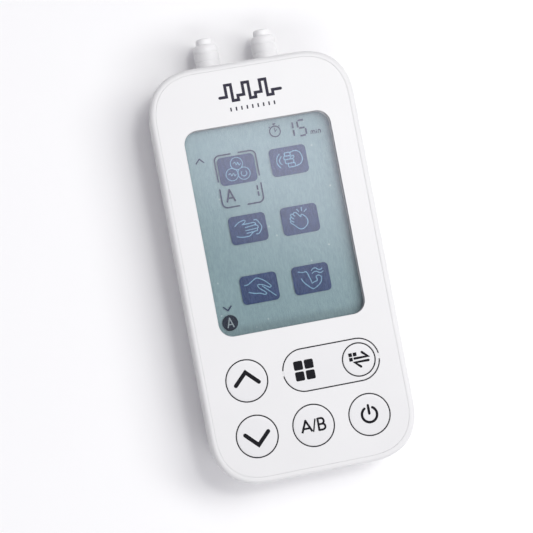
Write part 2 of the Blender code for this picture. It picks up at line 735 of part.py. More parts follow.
def make_cell(name, x, plus_up):
    """An AAA cell along Y, standing clear of the plate that its plus end meets."""
    facing = 1 if plus_up else -1
    end_wall = BAY_TOP if plus_up else BAY_BOTTOM
    plus_end = end_wall - facing * (CONTACT_THICKNESS + 2 * GAP)
    start = plus_end - facing * CELL_LENGTH
    body = CELL_LENGTH - 1.0
    profile = [
        (0, 0),
        (CELL_RADIUS - 0.5, 0),
        (CELL_RADIUS, 0.4),
        (CELL_RADIUS, body - 0.4),
        (CELL_RADIUS - 0.5, body),
        (1.9, body),
        (1.8, CELL_LENGTH),
        (0, CELL_LENGTH),
    ]
    place = Matrix.Translation((x, start, CELL_Z)) @ Matrix.Rotation(-facing * math.pi / 2, 4, "X")
    mesh = bmesh.new()
    add_turned(mesh, profile, CELL_STEPS, place)
    make("battery_" + name, mesh, material("battery", (0.1, 0.12, 0.14), 0.35, 0.6))


def add_spring(mesh, x, y, facing):
    """Adds a coil spring that starts inside its contact plate and points along Y."""
    sides = 6
    per_turn = 12
    count = SPRING_TURNS * per_turn
    loops = []
    for step in range(count + 1):
        turn = 2 * math.pi * step / per_turn
        out = Vector((math.cos(turn), 0, math.sin(turn)))
        radius = SPRING_RADIUS - 0.9 * step / count
        rise = (SPRING_LENGTH - 2 * WIRE_RADIUS) * step / count + WIRE_RADIUS - 0.1
        middle = Vector((x, y + facing * rise, CELL_Z)) + out * radius
        ring = []
        for side in range(sides):
            angle = 2 * math.pi * side / sides
            offset = out * math.cos(angle) + Vector((0, math.sin(angle), 0))
            ring.append(mesh.verts.new(middle + offset * WIRE_RADIUS))
        loops.append(ring)
    for lower, upper in zip(loops, loops[1:]):
        for i in range(sides):
            mesh.faces.new((lower[i - 1], lower[i], upper[i], upper[i - 1]))
    mesh.faces.new(list(reversed(loops[0])))
    mesh.faces.new(loops[-1])


def make_contact(name, low_x, high_x, upper_end, spring_x=None):
    """A battery contact plate at one end of the bay, with a spring where a cell's minus end meets it."""
    facing = -1 if upper_end else 1
    near = (BAY_TOP if upper_end else BAY_BOTTOM) + facing * GAP
    far = near + facing * CONTACT_THICKNESS
    low_y, high_y = sorted((near, far))
    mesh = bmesh.new()
    add_box(mesh, (low_x, low_y, CELL_Z - 4.4), (high_x, high_y, CELL_Z + 4.4))
    plate = make(name, mesh, material("contact", (0.7, 0.7, 0.68), 0.3, 1.0))
    if spring_x is not None:
        mesh = bmesh.new()
        add_spring(mesh, spring_x, far, facing)
        shape(plate, "UNION", helper("spring_" + name, mesh))


def make_battery_bay():
    """Three cells in series and the contacts between them."""
    make_cell("left", -CELL_PITCH, True)
    make_cell("middle", 0.0, False)
    make_cell("right", CELL_PITCH, True)
    reach = 4.2
    make_contact("contact_positive", -CELL_PITCH - reach, -CELL_PITCH + reach, True)
    make_contact("contact_link_upper", -reach, CELL_PITCH + reach, True, 0.0)
    make_contact("contact_link_lower", -CELL_PITCH - reach, reach, False, -CELL_PITCH)
    make_contact("contact_negative", CELL_PITCH - reach, CELL_PITCH + reach, False, CELL_PITCH)


def make_screw(number, place):
    """A case screw, driven from the back, with a cross recess in its head."""
    head_top = SCREW_HEAD_BOTTOM + SCREW_HEAD_HEIGHT
    profile = [
        (0, SCREW_HEAD_BOTTOM),
        (SCREW_HEAD_RADIUS - 0.5, SCREW_HEAD_BOTTOM),
        (SCREW_HEAD_RADIUS, SCREW_HEAD_BOTTOM + 0.5),
        (SCREW_HEAD_RADIUS, head_top),
        (SCREW_RADIUS, head_top),
        (SCREW_RADIUS, SCREW_TIP - 1.0),
        (0.3, SCREW_TIP),
        (0, SCREW_TIP),
    ]
    mesh = bmesh.new()
    add_turned(mesh, profile, SMALL_ROUND_STEPS, Matrix.Translation((place[0], place[1], 0)))
    origin = (place[0], place[1], SCREW_HEAD_BOTTOM)
    steel = material("case_screw", (0.5, 0.5, 0.5), 0.3, 1.0)
    screw = make(f"case_screw_{number}", mesh, steel, origin)
    mesh = bmesh.new()
    for long_x, long_y in ((1.1, 0.22), (0.22, 1.1)):
        low = (place[0] - long_x, place[1] - long_y, SCREW_HEAD_BOTTOM - 1.0)
        high = (place[0] + long_x, place[1] + long_y, SCREW_HEAD_BOTTOM + 0.8)
        add_box(mesh, low, high)
    shape(screw, "DIFFERENCE", helper(f"cut_screw_{number}", mesh))


for old in list(bpy.data.objects):
    bpy.data.objects.remove(old, do_unlink=True)
ROOT = bpy.data.objects.new("tens_unit", None)
bpy.context.scene.collection.objects.link(ROOT)

make_front_shell()
make_face_panel()
make_rear_shell()
make_battery_door()
make_display()
for key_name, key_centre in ROUND_KEYS.items():
    make_round_key(key_name, key_centre, KEY_RADIUS, KEY_FLANGE)
make_round_key("swap", SWAP_CENTRE, SWAP_RADIUS, SWAP_FLANGE)
make_mode_key()
make_board()
for plug_side, plug_name in ((-1, "left"), (1, "right")):
    make_transformer(plug_side, plug_name)
    make_socket(plug_side, plug_name)
    make_plug(plug_side, plug_name)
make_battery_bay()
for screw_number, screw_place in enumerate(SCREW_PLACES, 1):
    make_screw(screw_number, screw_place)
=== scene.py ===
"""The looks of a hand-held TENS unit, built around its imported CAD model.

The unit lies on its back on a pale floor: +Z comes out of the face and +Y points to the lead plugs.
Lengths are in millimetres in this file, and mesh_data() turns each mesh into metres.
"""

import math

import bmesh
import bpy
from mathutils import Matrix, Vector


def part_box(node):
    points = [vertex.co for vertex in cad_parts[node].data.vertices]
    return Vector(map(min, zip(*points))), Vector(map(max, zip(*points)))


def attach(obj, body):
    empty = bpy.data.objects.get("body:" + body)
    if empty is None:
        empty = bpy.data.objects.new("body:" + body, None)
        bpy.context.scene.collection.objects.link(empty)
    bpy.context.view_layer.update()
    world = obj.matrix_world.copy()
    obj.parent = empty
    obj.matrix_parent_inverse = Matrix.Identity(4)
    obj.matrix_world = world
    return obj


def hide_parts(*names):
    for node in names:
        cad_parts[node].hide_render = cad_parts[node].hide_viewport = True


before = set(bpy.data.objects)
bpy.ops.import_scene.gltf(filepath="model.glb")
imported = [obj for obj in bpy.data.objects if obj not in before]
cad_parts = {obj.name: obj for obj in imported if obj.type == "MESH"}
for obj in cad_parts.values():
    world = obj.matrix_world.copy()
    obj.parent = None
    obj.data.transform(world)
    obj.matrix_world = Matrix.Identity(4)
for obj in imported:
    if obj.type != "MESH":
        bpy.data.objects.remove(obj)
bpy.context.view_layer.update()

MM = 0.001

# Places read from the CAD model


def low(node):
    """A CAD node's lowest corner, in millimetres."""
    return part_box(node)[0] / MM


def high(node):
    """A CAD node's highest corner, in millimetres."""
    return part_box(node)[1] / MM


def middle(node):
    """The middle of a CAD node's box, in millimetres."""
    return (low(node) + high(node)) / 2


HALF_WIDTH = high("front_shell").x
HALF_LENGTH = high("front_shell").y
FACE = high("front_shell").z
SKIRT_LOW = low("front_shell").z
REAR_TOP = high("rear_shell").z
PANEL_LOW = low("face_panel").z
WINDOW_TOP = high("display_window").z
WINDOW_LOW = low("display_window").z
GLASS_LOW = low("lcd_glass").z
GLASS_TOP = high("lcd_glass").z
DOOR_TOP = high("battery_door").z
DOOR_END = high("battery_door").y
DOOR_HALF = high("battery_door").x
PLUG_X = middle("plug_boot_right").x
PLUG_Z = middle("plug_boot_right").z
BOOT_START = low("plug_boot_right").y
BOOT_END = high("plug_boot_right").y
BOOT_RADIUS = high("plug_boot_right").z - PLUG_Z

# Casing
CORNER_RADIUS = 15.75
CORNER_POWER = 2.5
REAR_TOP_CORNER_RADIUS = 17.5
CORNER_STEPS = 18
PARTING = REAR_TOP + 0.3
FACE_EDGE = 1.25
BACK_TAPER = 7.5
BACK_TAPER_POWER = 2.1
WALL = 2.0
SMALL_EDGE = 0.1
SEAM_INSET = 1.75
SEAM_HALF = 0.012
SEAM_EDGE = 0.06
PLATE_TOP = 18.9
PLATE_LOW = 17.4
SKIRT_INSET = 2.3
SKIRT_THICKNESS = 1.2
PANEL_TOP = FACE - 0.03

# Window
WINDOW_FLANGE = 1.0
WINDOW_RADIUS = 4.0
WINDOW_LEDGE = 18.2
WINDOW_GAP = 0.12
WINDOW_HALF = (high("display_window") - middle("display_window")).xy
WINDOW_SPAN = (WINDOW_HALF.x - WINDOW_FLANGE, WINDOW_HALF.y - WINDOW_FLANGE)
WINDOW_CENTRE = middle("display_window").xy

# Keys
KEY_FLANGE = 0.9
SWAP_FLANGE = 0.4
KEY_HALF_GAP = 0.15
SEAL_EXTRA = 0.03
KEY_LOW = low("key_up").z
KEY_FLANGE_TOP = KEY_LOW + 0.7
KEY_TOP = FACE - 0.03
KEY_CROWN = 0.04
KEY_EDGE = 0.06
PRINT_TOP = FACE - 0.005
PRINT_LOW = FACE - 0.12
SEAL_LOW = PANEL_LOW + 0.1
SEAL_TOP = FACE - 0.06
SEAL_SLACK = 0.01
ROUND_KEYS = ("up", "down", "channel", "power")
BRIDGE_HALF = 1.08

# Points round a circle, and steps in each span of a smooth line
ROUND = 72
SMALL_ROUND = 40
SPAN_STEPS = 7


# Outlines, each a list of (x, y)


def quarter(steps):
    """The cosine and sine of each even step through a quarter turn."""
    angles = [math.pi / 2 * step / steps for step in range(steps + 1)]
    return [(math.cos(angle), math.sin(angle)) for angle in angles]


def corner(radius, power, steps):
    """Points of one superellipse corner about its own centre, from the +X side to the +Y side."""
    flat = 2 / power
    return [(radius * abs(across) ** flat, radius * abs(along) ** flat) for across, along in quarter(steps)]


def rounded(half_x, half_y, radius, centre=(0.0, 0.0), power=2.0, steps=12, top_radius=None):
    """Counter-clockwise outline of a rectangle with rounded corners."""
    points = []
    for side_x, side_y in ((1, 1), (-1, 1), (-1, -1), (1, -1)):
        bend = top_radius if top_radius and side_y > 0 else radius
        turn = corner(bend, power, steps)
        for across, along in turn if side_x == side_y else reversed(turn):
            x = centre[0] + side_x * (half_x - bend + across)
            y = centre[1] + side_y * (half_y - bend + along)
            points.append((x, y))
    return [p for i, p in enumerate(points) if math.dist(p, points[i - 1]) > 1e-4]


def circle(centre, radius, steps=ROUND):
    """Counter-clockwise circle."""
    turns = [2 * math.pi * step / steps for step in range(steps)]
    return [(centre[0] + radius * math.cos(a), centre[1] + radius * math.sin(a)) for a in turns]


def arc(centre, radius, start, end, steps):
    """Points along an arc, with its angles in degrees."""
    angles = [math.radians(start + (end - start) * step / steps) for step in range(steps + 1)]
    return [(centre[0] + radius * math.cos(a), centre[1] + radius * math.sin(a)) for a in angles]


def front_outline(inset, top_radius=CORNER_RADIUS):
    """Outline of the front casing, drawn in by inset."""
    return rounded(
        HALF_WIDTH - inset,
        HALF_LENGTH - inset,
        CORNER_RADIUS - inset,
        power=CORNER_POWER,
        steps=CORNER_STEPS,
        top_radius=top_radius - inset,
    )


def rear_outline(inset):
    """Outline of the rear casing, whose two upper corners are rounder than the front's."""
    return front_outline(inset, REAR_TOP_CORNER_RADIUS)


def round_outline(centre, radius):
    """A circle as a function of how far it grows."""
    return lambda grow: circle(centre, radius + grow)


def window_outline(grow):
    """Outline of the display opening, grown by grow."""
    half_x = WINDOW_SPAN[0] + grow
    half_y = WINDOW_SPAN[1] + grow
    return rounded(half_x, half_y, WINDOW_RADIUS + grow, centre=WINDOW_CENTRE)


def key_flange(name):
    """How far a round key's flange reaches past its cap in the CAD model."""
    return SWAP_FLANGE if name == "swap" else KEY_FLANGE


def key_reach(name):
    """Radius of a round key, flange and all."""
    return (high("key_" + name).x - low("key_" + name).x) / 2


def key_radius(name):
    """Radius of a round key's cap."""
    return key_reach(name) - key_flange(name) - SEAL_EXTRA


def hole_radius(name):
    """Radius of the opening that a round key stands in."""
    return key_reach(name) - key_flange(name) + 2 * KEY_HALF_GAP + SEAL_EXTRA


def pill_outline(grow):
    """Outline of the CAD model's pill-shaped cap, grown by grow."""
    half = (high("key_mode") - low("key_mode")) / 2
    half_y = half.y - KEY_FLANGE + grow
    centre = middle("key_mode").xy
    return rounded(half.x - KEY_FLANGE + grow, half_y, half_y, centre=centre, steps=24)


def rear_inset(height):
    """How far the rear casing's outside is drawn in at a height above the back."""
    down = (REAR_TOP - height) / REAR_TOP
    return BACK_TAPER * (1 - (1 - down**BACK_TAPER_POWER) ** (1 / BACK_TAPER_POWER))


# Mesh building


def add_rings(mesh, rings):
    """Joins rings of equal point counts, each (outline, height), and returns their loops of vertices."""
    loops = [[mesh.verts.new((x, y, z)) for x, y in outline] for outline, z in rings]
    for first, second in zip(loops, loops[1:]):
        for i in range(len(first)):
            mesh.faces.new((first[i - 1], first[i], second[i], second[i - 1]))
    return loops


def add_loft(mesh, rings):
    """Adds a closed solid through rings."""
    loops = add_rings(mesh, rings)
    mesh.faces.new(list(reversed(loops[0])))
    mesh.faces.new(loops[-1])


def fill(mesh, loops):
    """Fills the flat region between an outer loop and the loops of its holes."""
    edges = []
    for loop in loops:
        for i in range(len(loop)):
            edges.append(mesh.edges.get((loop[i - 1], loop[i])))
    bmesh.ops.triangle_fill(mesh, use_beauty=True, use_dissolve=False, edges=edges)


def add_plate(mesh, sides, holes):
    """Adds a closed plate: its sides from lowest to highest, and each hole's from top to bottom."""
    outer = add_rings(mesh, sides)
    inner = [add_rings(mesh, rings) for rings in holes]
    fill(mesh, [outer[-1]] + [loops[0] for loops in inner])
    fill(mesh, [outer[0]] + [loops[-1] for loops in inner])


def add_prism(mesh, outline, bottom, top):
    """Adds an upright prism."""
    add_loft(mesh, [(outline, bottom), (outline, top)])


def add_box(mesh, start, end):
    """Adds a box between two opposite corners."""
    outline = [(start[0], start[1]), (end[0], start[1]), (end[0], end[1]), (start[0], end[1])]
    add_prism(mesh, outline, start[2], end[2])


def edge_rings(outline, inset, top, radius, steps=4):
    """Rings that round the upper edge of an outline, from its side to its top."""
    return [(outline(inset + radius * (1 - c)), top - radius * (1 - s)) for c, s in quarter(steps)]


def hole_rings(outline, top, bottom, radius=SMALL_EDGE):
    """Rings of a hole with a rounded upper edge, from the top down. The outline takes how far to grow."""
    rings = [(outline(radius * (1 - s)), top - radius * (1 - c)) for c, s in quarter(4)]
    return rings + [(outline(0.0), bottom)]


def add_turned(mesh, profile, steps, place):
    """Adds a turned solid. The profile is (radius, height) from its lowest point on the axis to its top."""
    loops = []
    for radius, height in profile:
        if radius < 1e-6:
            loops.append([mesh.verts.new(place @ Vector((0, 0, height)))])
            continue
        ring = circle((0, 0), radius, steps)
        loops.append([mesh.verts.new(place @ Vector((x, y, height))) for x, y in ring])
    for first, second in zip(loops, loops[1:]):
        for i in range(steps):
            sides = ((first, i - 1), (first, i), (second, i), (second, i - 1))
            corners = [loop[at % len(loop)] for loop, at in sides]
            mesh.faces.new(list(dict.fromkeys(corners)))


def along_y(x):
    """Turns a local +Z axis to +Y, with its origin at the height of the plugs."""
    return Matrix.Translation((x, 0, PLUG_Z)) @ Matrix.Rotation(-math.pi / 2, 4, "X")


def smooth(points):
    """A smooth open line through points."""
    ends = [points[0], *points, points[-1]]
    result = []
    for span in zip(ends, ends[1:], ends[2:], ends[3:]):
        before, start, end, after = (Vector(p) for p in span)
        for step in range(SPAN_STEPS):
            t = step / SPAN_STEPS
            bend = 2 * start + (end - before) * t
            bend += (2 * before - 5 * start + 4 * end - after) * t * t
            bend += (3 * start - before - 3 * end + after) * t * t * t
            result.append(tuple(bend / 2))
    return result + [tuple(points[-1])]


def offsets(points, width, closed):
    """The two sides of a line of even width."""
    count = len(points)
    sides = ([], [])
    for i, point in enumerate(points):
        here = Vector(point)
        ways = []
        if closed or i > 0:
            ways.append((here - Vector(points[i - 1])).normalized())
        if closed or i < count - 1:
            ways.append((Vector(points[(i + 1) % count]) - here).normalized())
        mean = sum(ways, Vector((0, 0))).normalized()
        across = Vector((-mean.y, mean.x))
        spread = max(mean.dot(ways[0]), 0.5)
        sides[0].append(tuple(here + across * width / 2 / spread))
        sides[1].append(tuple(here - across * width / 2 / spread))
    return sides


def add_line(mesh, points, width, bottom, top, closed=False, square=False):
    """Adds a flat line through points, with round or square ends."""
    left, right = offsets(points, width, closed)
    if closed:
        add_plate(mesh, [(left, bottom), (left, top)], [[(right, top), (right, bottom)]])
        return
    outline = list(left)
    for tip, near, side in ((points[-1], points[-2], right), (points[0], points[1], [])):
        way = Vector(tip) - Vector(near)
        start = math.degrees(math.atan2(way.y, way.x)) + 90
        if not square:
            outline += arc(tip, width / 2, start - 18, start - 162, 8)
        outline += reversed(side)
    add_prism(mesh, outline, bottom, top)


def placed(name, data):
    """A new object in the scene."""
    made = bpy.data.objects.new(name, data)
    bpy.context.scene.collection.objects.link(made)
    return made


def mesh_data(name, mesh, scale=MM):
    """Turns a mesh, which is used up, into mesh data that faces outwards."""
    bmesh.ops.scale(mesh, vec=(scale, scale, scale), verts=mesh.verts)
    bmesh.ops.recalc_face_normals(mesh, faces=mesh.faces)
    data = bpy.data.meshes.new(name)
    mesh.to_mesh(data)
    mesh.free()
    return data


def finish_piece(name, mesh, finish, node=None, body="casing", sharp=30, weighted=True):
    """Turns a mesh into a piece that rides on a CAD body, and stands for a CAD node if one is named."""
    data = mesh_data(name, mesh)
    data.shade_smooth()
    data.set_sharp_from_angle(angle=math.radians(sharp))
    data.materials.append(finish.material)
    piece = placed(name, data)
    if weighted:
        normals = piece.modifiers.new("even_normals", "WEIGHTED_NORMAL")
        normals.keep_sharp = True
    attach(piece, body)
    if node:
        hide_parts(node)
    return piece


def combined(base, steps, edge):
    """A new mesh: the base after its Booleans, each (operation, mesh), and a bevel on its sharp edges."""
    target = placed("target", mesh_data("target", base, 1.0))
    tools = []
    for operation, mesh in steps:
        tools.append(placed("tool", mesh_data("tool", mesh, 1.0)))
        added = target.modifiers.new(operation, "BOOLEAN")
        added.operation = operation
        added.solver = "EXACT"
        added.use_self = True
        added.object = tools[-1]
    if edge:
        bevel = target.modifiers.new("edge", "BEVEL")
        bevel.width = edge
        bevel.segments = 2
        bevel.limit_method = "ANGLE"
        bevel.angle_limit = math.radians(40)
    graph = bpy.context.evaluated_depsgraph_get()
    result = bmesh.new()
    result.from_object(target, graph)
    for spare in [target] + tools:
        bpy.data.objects.remove(spare, do_unlink=True)
    return result


# Materials


class Finish:
    """One procedural material, with short ways to add and join its nodes."""

    def __init__(self, name, roughness, metallic=0.0):
        self.material = bpy.data.materials.new(name)
        self.material.use_nodes = True
        self.tree = self.material.node_tree
        self.shader = self.tree.nodes["Principled BSDF"]
        self.shader.inputs["Metallic"].default_value = metallic
        self.shader.inputs["IOR"].default_value = 1.46
        self.shader.inputs["Roughness"].default_value = roughness
        self.place = self.node("ShaderNodeTexCoord").outputs["Object"]

    def node(self, kind, options=None, **inputs):
        """Adds a node with its options and its input values or links."""
        made = self.tree.nodes.new(kind)
        for option, value in (options or {}).items():
            setattr(made, option, value)
        for name, value in inputs.items():
            self.put(made.inputs[name.replace("_", " ")], value)
        return made

    def put(self, socket, value):
        """Sets a socket to a value or a link."""
        if isinstance(value, bpy.types.NodeSocket):
            self.tree.links.new(value, socket)
        else:
            socket.default_value = value

    def noise(self, size, detail, rough=0.5, place=None):
        """Noise whose features are size millimetres across."""
        values = {"Scale": 1 / (size * MM), "Detail": detail, "Roughness": rough}
        return self.node("ShaderNodeTexNoise", Vector=place or self.place, **values).outputs["Fac"]

    def cells(self, size):
        """Distance to the nearest point of a scatter that is size millimetres apart."""
        made = self.node("ShaderNodeTexVoronoi", Vector=self.place, Scale=1 / (size * MM))
        return made.outputs["Distance"]

    def drawn_out(self, share, turn=0.0):
        """The place, turned about the vertical by degrees and drawn out along Y."""
        turned = (0.0, 0.0, math.radians(turn))
        made = self.node("ShaderNodeMapping", Vector=self.place, Rotation=turned, Scale=(1.0, share, 1.0))
        return made.outputs["Vector"]

    def math(self, operation, first, second=0.0):
        """Arithmetic on two values."""
        made = self.node("ShaderNodeMath", {"operation": operation})
        self.put(made.inputs[0], first)
        self.put(made.inputs[1], second)
        return made.outputs[0]

    def between(self, value, to_low, to_high, low=0.3, high=0.7):
        """Maps the range from low to high to another one, and holds it at both ends."""
        ends = {"From_Min": low, "From_Max": high, "To_Min": to_low, "To_Max": to_high}
        return self.node("ShaderNodeMapRange", Value=value, **ends).outputs["Result"]

    def mix(self, share, first, second):
        """Mixes two colours."""
        made = self.node("ShaderNodeMix", {"data_type": "RGBA"})
        self.put(made.inputs[0], share)
        for socket, colour in ((made.inputs[6], first), (made.inputs[7], second)):
            self.put(socket, (*colour, 1.0) if isinstance(colour, tuple) else colour)
        return made.outputs[2]

    def blend(self, value, first, second, low=0.3, high=0.7, most=1.0):
        """Goes from one colour towards another as a value goes from low to high."""
        return self.mix(self.between(value, 0.0, most, low, high), first, second)

    def colour(self, value):
        """Sets the base colour."""
        self.put(self.shader.inputs["Base Color"], value)

    def rough(self, value):
        """Sets the roughness."""
        self.put(self.shader.inputs["Roughness"], value)

    def bump(self, height, depth, strength):
        """Raises the surface by a height from 0 to 1, depth millimetres high."""
        made = self.node("ShaderNodeBump", Height=height, Distance=depth * MM, Strength=strength)
        before = self.shader.inputs["Normal"]
        if before.is_linked:
            self.put(made.inputs["Normal"], before.links[0].from_socket)
        self.put(before, made.outputs["Normal"])


def scaled(colour, by, plus=0.0):
    """A colour made brighter or darker, and held at 1."""
    return tuple(min(channel * by + plus, 1.0) for channel in colour)


def plastic(name, colour, roughness, grain=0.14, grain_depth=0.004, tint=0.02):
    """Moulded plastic: a fine spark-eroded grain, slow changes of tone and gloss, and faint dust."""
    made = Finish(name, roughness)
    cloud = made.noise(18.0, 3.0)
    fine = made.noise(grain, 2.0, 0.6)
    tone = made.blend(cloud, scaled(colour, 1 - tint), scaled(colour, 1 + tint / 2))
    made.colour(made.blend(made.cells(2.3), tone, scaled(colour, 0.86), 0.035, 0.02, 0.35))
    gloss = made.math("ADD", made.between(cloud, -0.03, 0.03), roughness)
    made.rough(made.math("ADD", gloss, made.between(fine, -0.05, 0.05)))
    made.bump(fine, grain_depth, 0.6)
    made.bump(made.noise(9.0, 1.0), 0.02, 0.25)
    return made


def film(name, roughness):
    """A thin dark layer, such as ink, that hardly shines."""
    made = Finish(name, roughness)
    made.shader.inputs["Specular IOR Level"].default_value = 0.15
    return made


def ink(name, colour):
    """Printed ink, slightly uneven."""
    made = film(name, 0.7)
    patch = made.noise(0.35, 3.0)
    made.colour(made.blend(patch, colour, scaled(colour, 1.35, 0.004), 0.35))
    made.rough(made.between(patch, 0.62, 0.78))
    made.bump(patch, 0.003, 0.4)
    return made


def metal(name, colour, roughness, grain=0.3):
    """Bare metal with fine drawn lines and slight tarnish."""
    made = Finish(name, roughness, metallic=1.0)
    lines = made.noise(grain, 3.0, place=made.drawn_out(0.08))
    made.colour(made.blend(made.noise(3.0, 4.0), colour, scaled(colour, 0.72), 0.45, 0.75))
    made.rough(made.between(lines, roughness - 0.07, roughness + 0.1))
    made.bump(lines, 0.004, 0.5)
    return made


def clear(name, roughness, grain, grain_depth, ior, sheen=(1.0, 1.0, 1.0)):
    """A clear sheet: see-through, with a gloss that grows towards glancing angles.

    Only its outward side is glossy, since light that leaves it isn't bent here.
    """
    made = Finish(name, roughness)
    nodes = made.tree.nodes
    nodes.remove(made.shader)
    texture = made.noise(grain, 2.0)
    raised = made.node("ShaderNodeBump", Height=texture, Distance=grain_depth * MM, Strength=0.5)
    through = made.node("ShaderNodeBsdfTransparent")
    through.inputs["Color"].default_value = (0.985, 0.99, 0.99, 1.0)
    gloss = made.node("ShaderNodeBsdfAnisotropic", Normal=raised.outputs["Normal"])
    gloss.inputs["Color"].default_value = (*sheen, 1.0)
    gloss.inputs["Roughness"].default_value = roughness
    edge = made.node("ShaderNodeFresnel")
    edge.inputs["IOR"].default_value = ior
    outer = made.math("SUBTRACT", 1.0, made.node("ShaderNodeNewGeometry").outputs["Backfacing"])
    both = made.node("ShaderNodeMixShader")
    made.put(both.inputs[0], made.math("MULTIPLY", edge.outputs[0], outer))
    made.put(both.inputs[1], through.outputs[0])
    made.put(both.inputs[2], gloss.outputs[0])
    made.put(nodes["Material Output"].inputs["Surface"], both.outputs[0])
    return made


WHITE = (0.79, 0.79, 0.79)
REAR_WHITE = (0.765, 0.76, 0.77)
KEY_WHITE = (0.77, 0.77, 0.775)

casing_finish = plastic("moulded_white", WHITE, 0.42)
panel_finish = plastic("panel_white", WHITE, 0.36, grain=0.2, grain_depth=0.003)
rear_finish = plastic("rear_white", REAR_WHITE, 0.46, grain=0.22, grain_depth=0.008)
key_finish = plastic("key_white", KEY_WHITE, 0.36, grain=0.18, grain_depth=0.003)
boot_finish = plastic("boot_white", (0.9, 0.9, 0.9), 0.5, grain=0.2, grain_depth=0.006)
seal_finish = ink("seal_grey", (0.02, 0.02, 0.023))
black_ink = ink("legend_black", (0.006, 0.006, 0.009))
emblem_ink = ink("emblem_grey", (0.035, 0.033, 0.05))


# Casing


def key_holes(top, bottom, radius=SMALL_EDGE):
    """The openings that the keys stand in."""
    outlines = [round_outline(middle("key_" + name).xy, hole_radius(name)) for name in ROUND_KEYS]
    outlines.append(lambda grow: pill_outline(2 * KEY_HALF_GAP + SEAL_EXTRA + grow))
    return [hole_rings(outline, top, bottom, radius) for outline in outlines]


def make_front():
    """The front casing: rim, skirt and the plate that carries the panel."""
    lip = SEAM_INSET - SEAM_HALF - SEAM_EDGE
    skirt = rear_outline(SKIRT_INSET + SKIRT_THICKNESS)
    ledge = window_outline(WINDOW_FLANGE + 0.3)
    rings = [
        (skirt, PLATE_LOW),
        (skirt, SKIRT_LOW),
        (rear_outline(SKIRT_INSET), SKIRT_LOW),
        (rear_outline(SKIRT_INSET), PARTING),
        (front_outline(0.12), PARTING),
        (front_outline(0.03), PARTING + 0.04),
        (front_outline(0.0), PARTING + 0.12),
    ]
    rings += edge_rings(front_outline, 0.0, FACE, FACE_EDGE, 9)
    rings += [(front_outline(lip + SEAM_EDGE * s), FACE - SEAM_EDGE * (1 - c)) for c, s in quarter(4)]
    rings.append((front_outline(lip + SEAM_EDGE), PLATE_TOP))
    window = [(ledge, PLATE_TOP), (ledge, WINDOW_LEDGE)]
    window += [(window_outline(0.0), height) for height in (WINDOW_LEDGE, PLATE_LOW)]
    mesh = bmesh.new()
    add_plate(mesh, rings, [window] + key_holes(PLATE_TOP, PLATE_LOW))
    finish_piece("casing_front", mesh, casing_finish, "front_shell")


def make_panel():
    """The flat panel inlaid in the front casing, with its window and key openings."""
    inset = SEAM_INSET + SEAM_HALF
    rings = [(front_outline(inset), PANEL_LOW)]
    rings += edge_rings(front_outline, inset, PANEL_TOP, SEAM_EDGE)
    holes = [hole_rings(window_outline, PANEL_TOP, PANEL_LOW)]
    holes += key_holes(PANEL_TOP, PANEL_LOW, 0.04)
    mesh = bmesh.new()
    add_plate(mesh, rings, holes)
    finish_piece("panel_face", mesh, panel_finish, "face_panel")


def add_seal(mesh, name):
    """Adds the ring that fills the gap round a round key."""
    centre = middle("key_" + name).xy
    inner = circle(centre, key_radius(name) + SEAL_SLACK)
    outer = circle(centre, hole_radius(name) - SEAL_SLACK)
    add_plate(mesh, [(outer, SEAL_LOW), (outer, SEAL_TOP)], [[(inner, SEAL_TOP), (inner, SEAL_LOW)]])


def make_seals():
    """Dark rubber seals that fill the gaps round the keys, and white bridges at the ends of the pill."""
    mesh = bmesh.new()
    for name in ROUND_KEYS:
        add_seal(mesh, name)
    centre = middle("key_mode").xy
    width = 2 * (KEY_HALF_GAP + SEAL_EXTRA - SEAL_SLACK)
    outline = pill_outline(KEY_HALF_GAP)
    for side in (1, -1):
        part = [p for p in outline if side * (p[1] - centre.y) > BRIDGE_HALF]
        part.sort(key=lambda p: math.atan2(side * (p[1] - centre.y), p[0] - centre.x))
        add_line(mesh, part, width, SEAL_LOW, SEAL_TOP, square=True)
    finish_piece("seals_casing", mesh, seal_finish)

    mesh = bmesh.new()
    add_seal(mesh, "swap")
    finish_piece("seal_swap", mesh, seal_finish, body="mode key")

    mesh = bmesh.new()
    for side in (1, -1):
        part = [p for p in outline if side * (p[0] - centre.x) > 0 and abs(p[1] - centre.y) < BRIDGE_HALF]
        part.sort(key=lambda p: p[1])
        add_line(mesh, part, width, SEAL_LOW, PANEL_TOP - 0.005, square=True)
    finish_piece("bridges", mesh, panel_finish)


# Rear casing
BAY_HALF_WIDTH = 16.5
BAY_TOP = -3.5
BAY_BOTTOM = -53.0
BAY_WALL = 1.3
BAY_WALL_TOP = 12.3
BAY_SIDE = BAY_HALF_WIDTH + BAY_WALL
END_WALL = BAY_TOP + 2.3
RAIL_WALL = 1.3
RAIL_TOP = DOOR_TOP + WALL - 0.4
BLOCK_WALL = 1.2
FEATURE_LOW = WALL - 0.05
TONGUE = 1.1
TONGUE_LOW = low("battery_door").z + 0.9
COUNTERBORE_RADIUS = 2.5
COUNTERBORE_TOP = 5.5
BOSS_RADIUS = 2.6
BOSS_TOP = 12.4
SCREW_HOLE = 1.3
SCREWS = [f"case_screw_{number}" for number in (1, 2, 3, 4)]
RECESS = (28.4, 8.2)
RECESS_FLOOR = 57.4
NOSE_RADIUS = 2.3
BEYOND = 3.0
CLEARANCE = 0.3
GRIP_ROWS = 6
GRIP_PITCH = 1.35
GRIP_DEPTH = 0.35
ARROW_DEPTH = 0.2


def rear_heights(lowest, steps):
    """Heights of the rear casing's rings, closer together near the back."""
    heights = [REAR_TOP * (step / steps) ** 1.8 for step in range(steps + 1)]
    return [lowest] + [z for z in heights if z > lowest + 0.05]


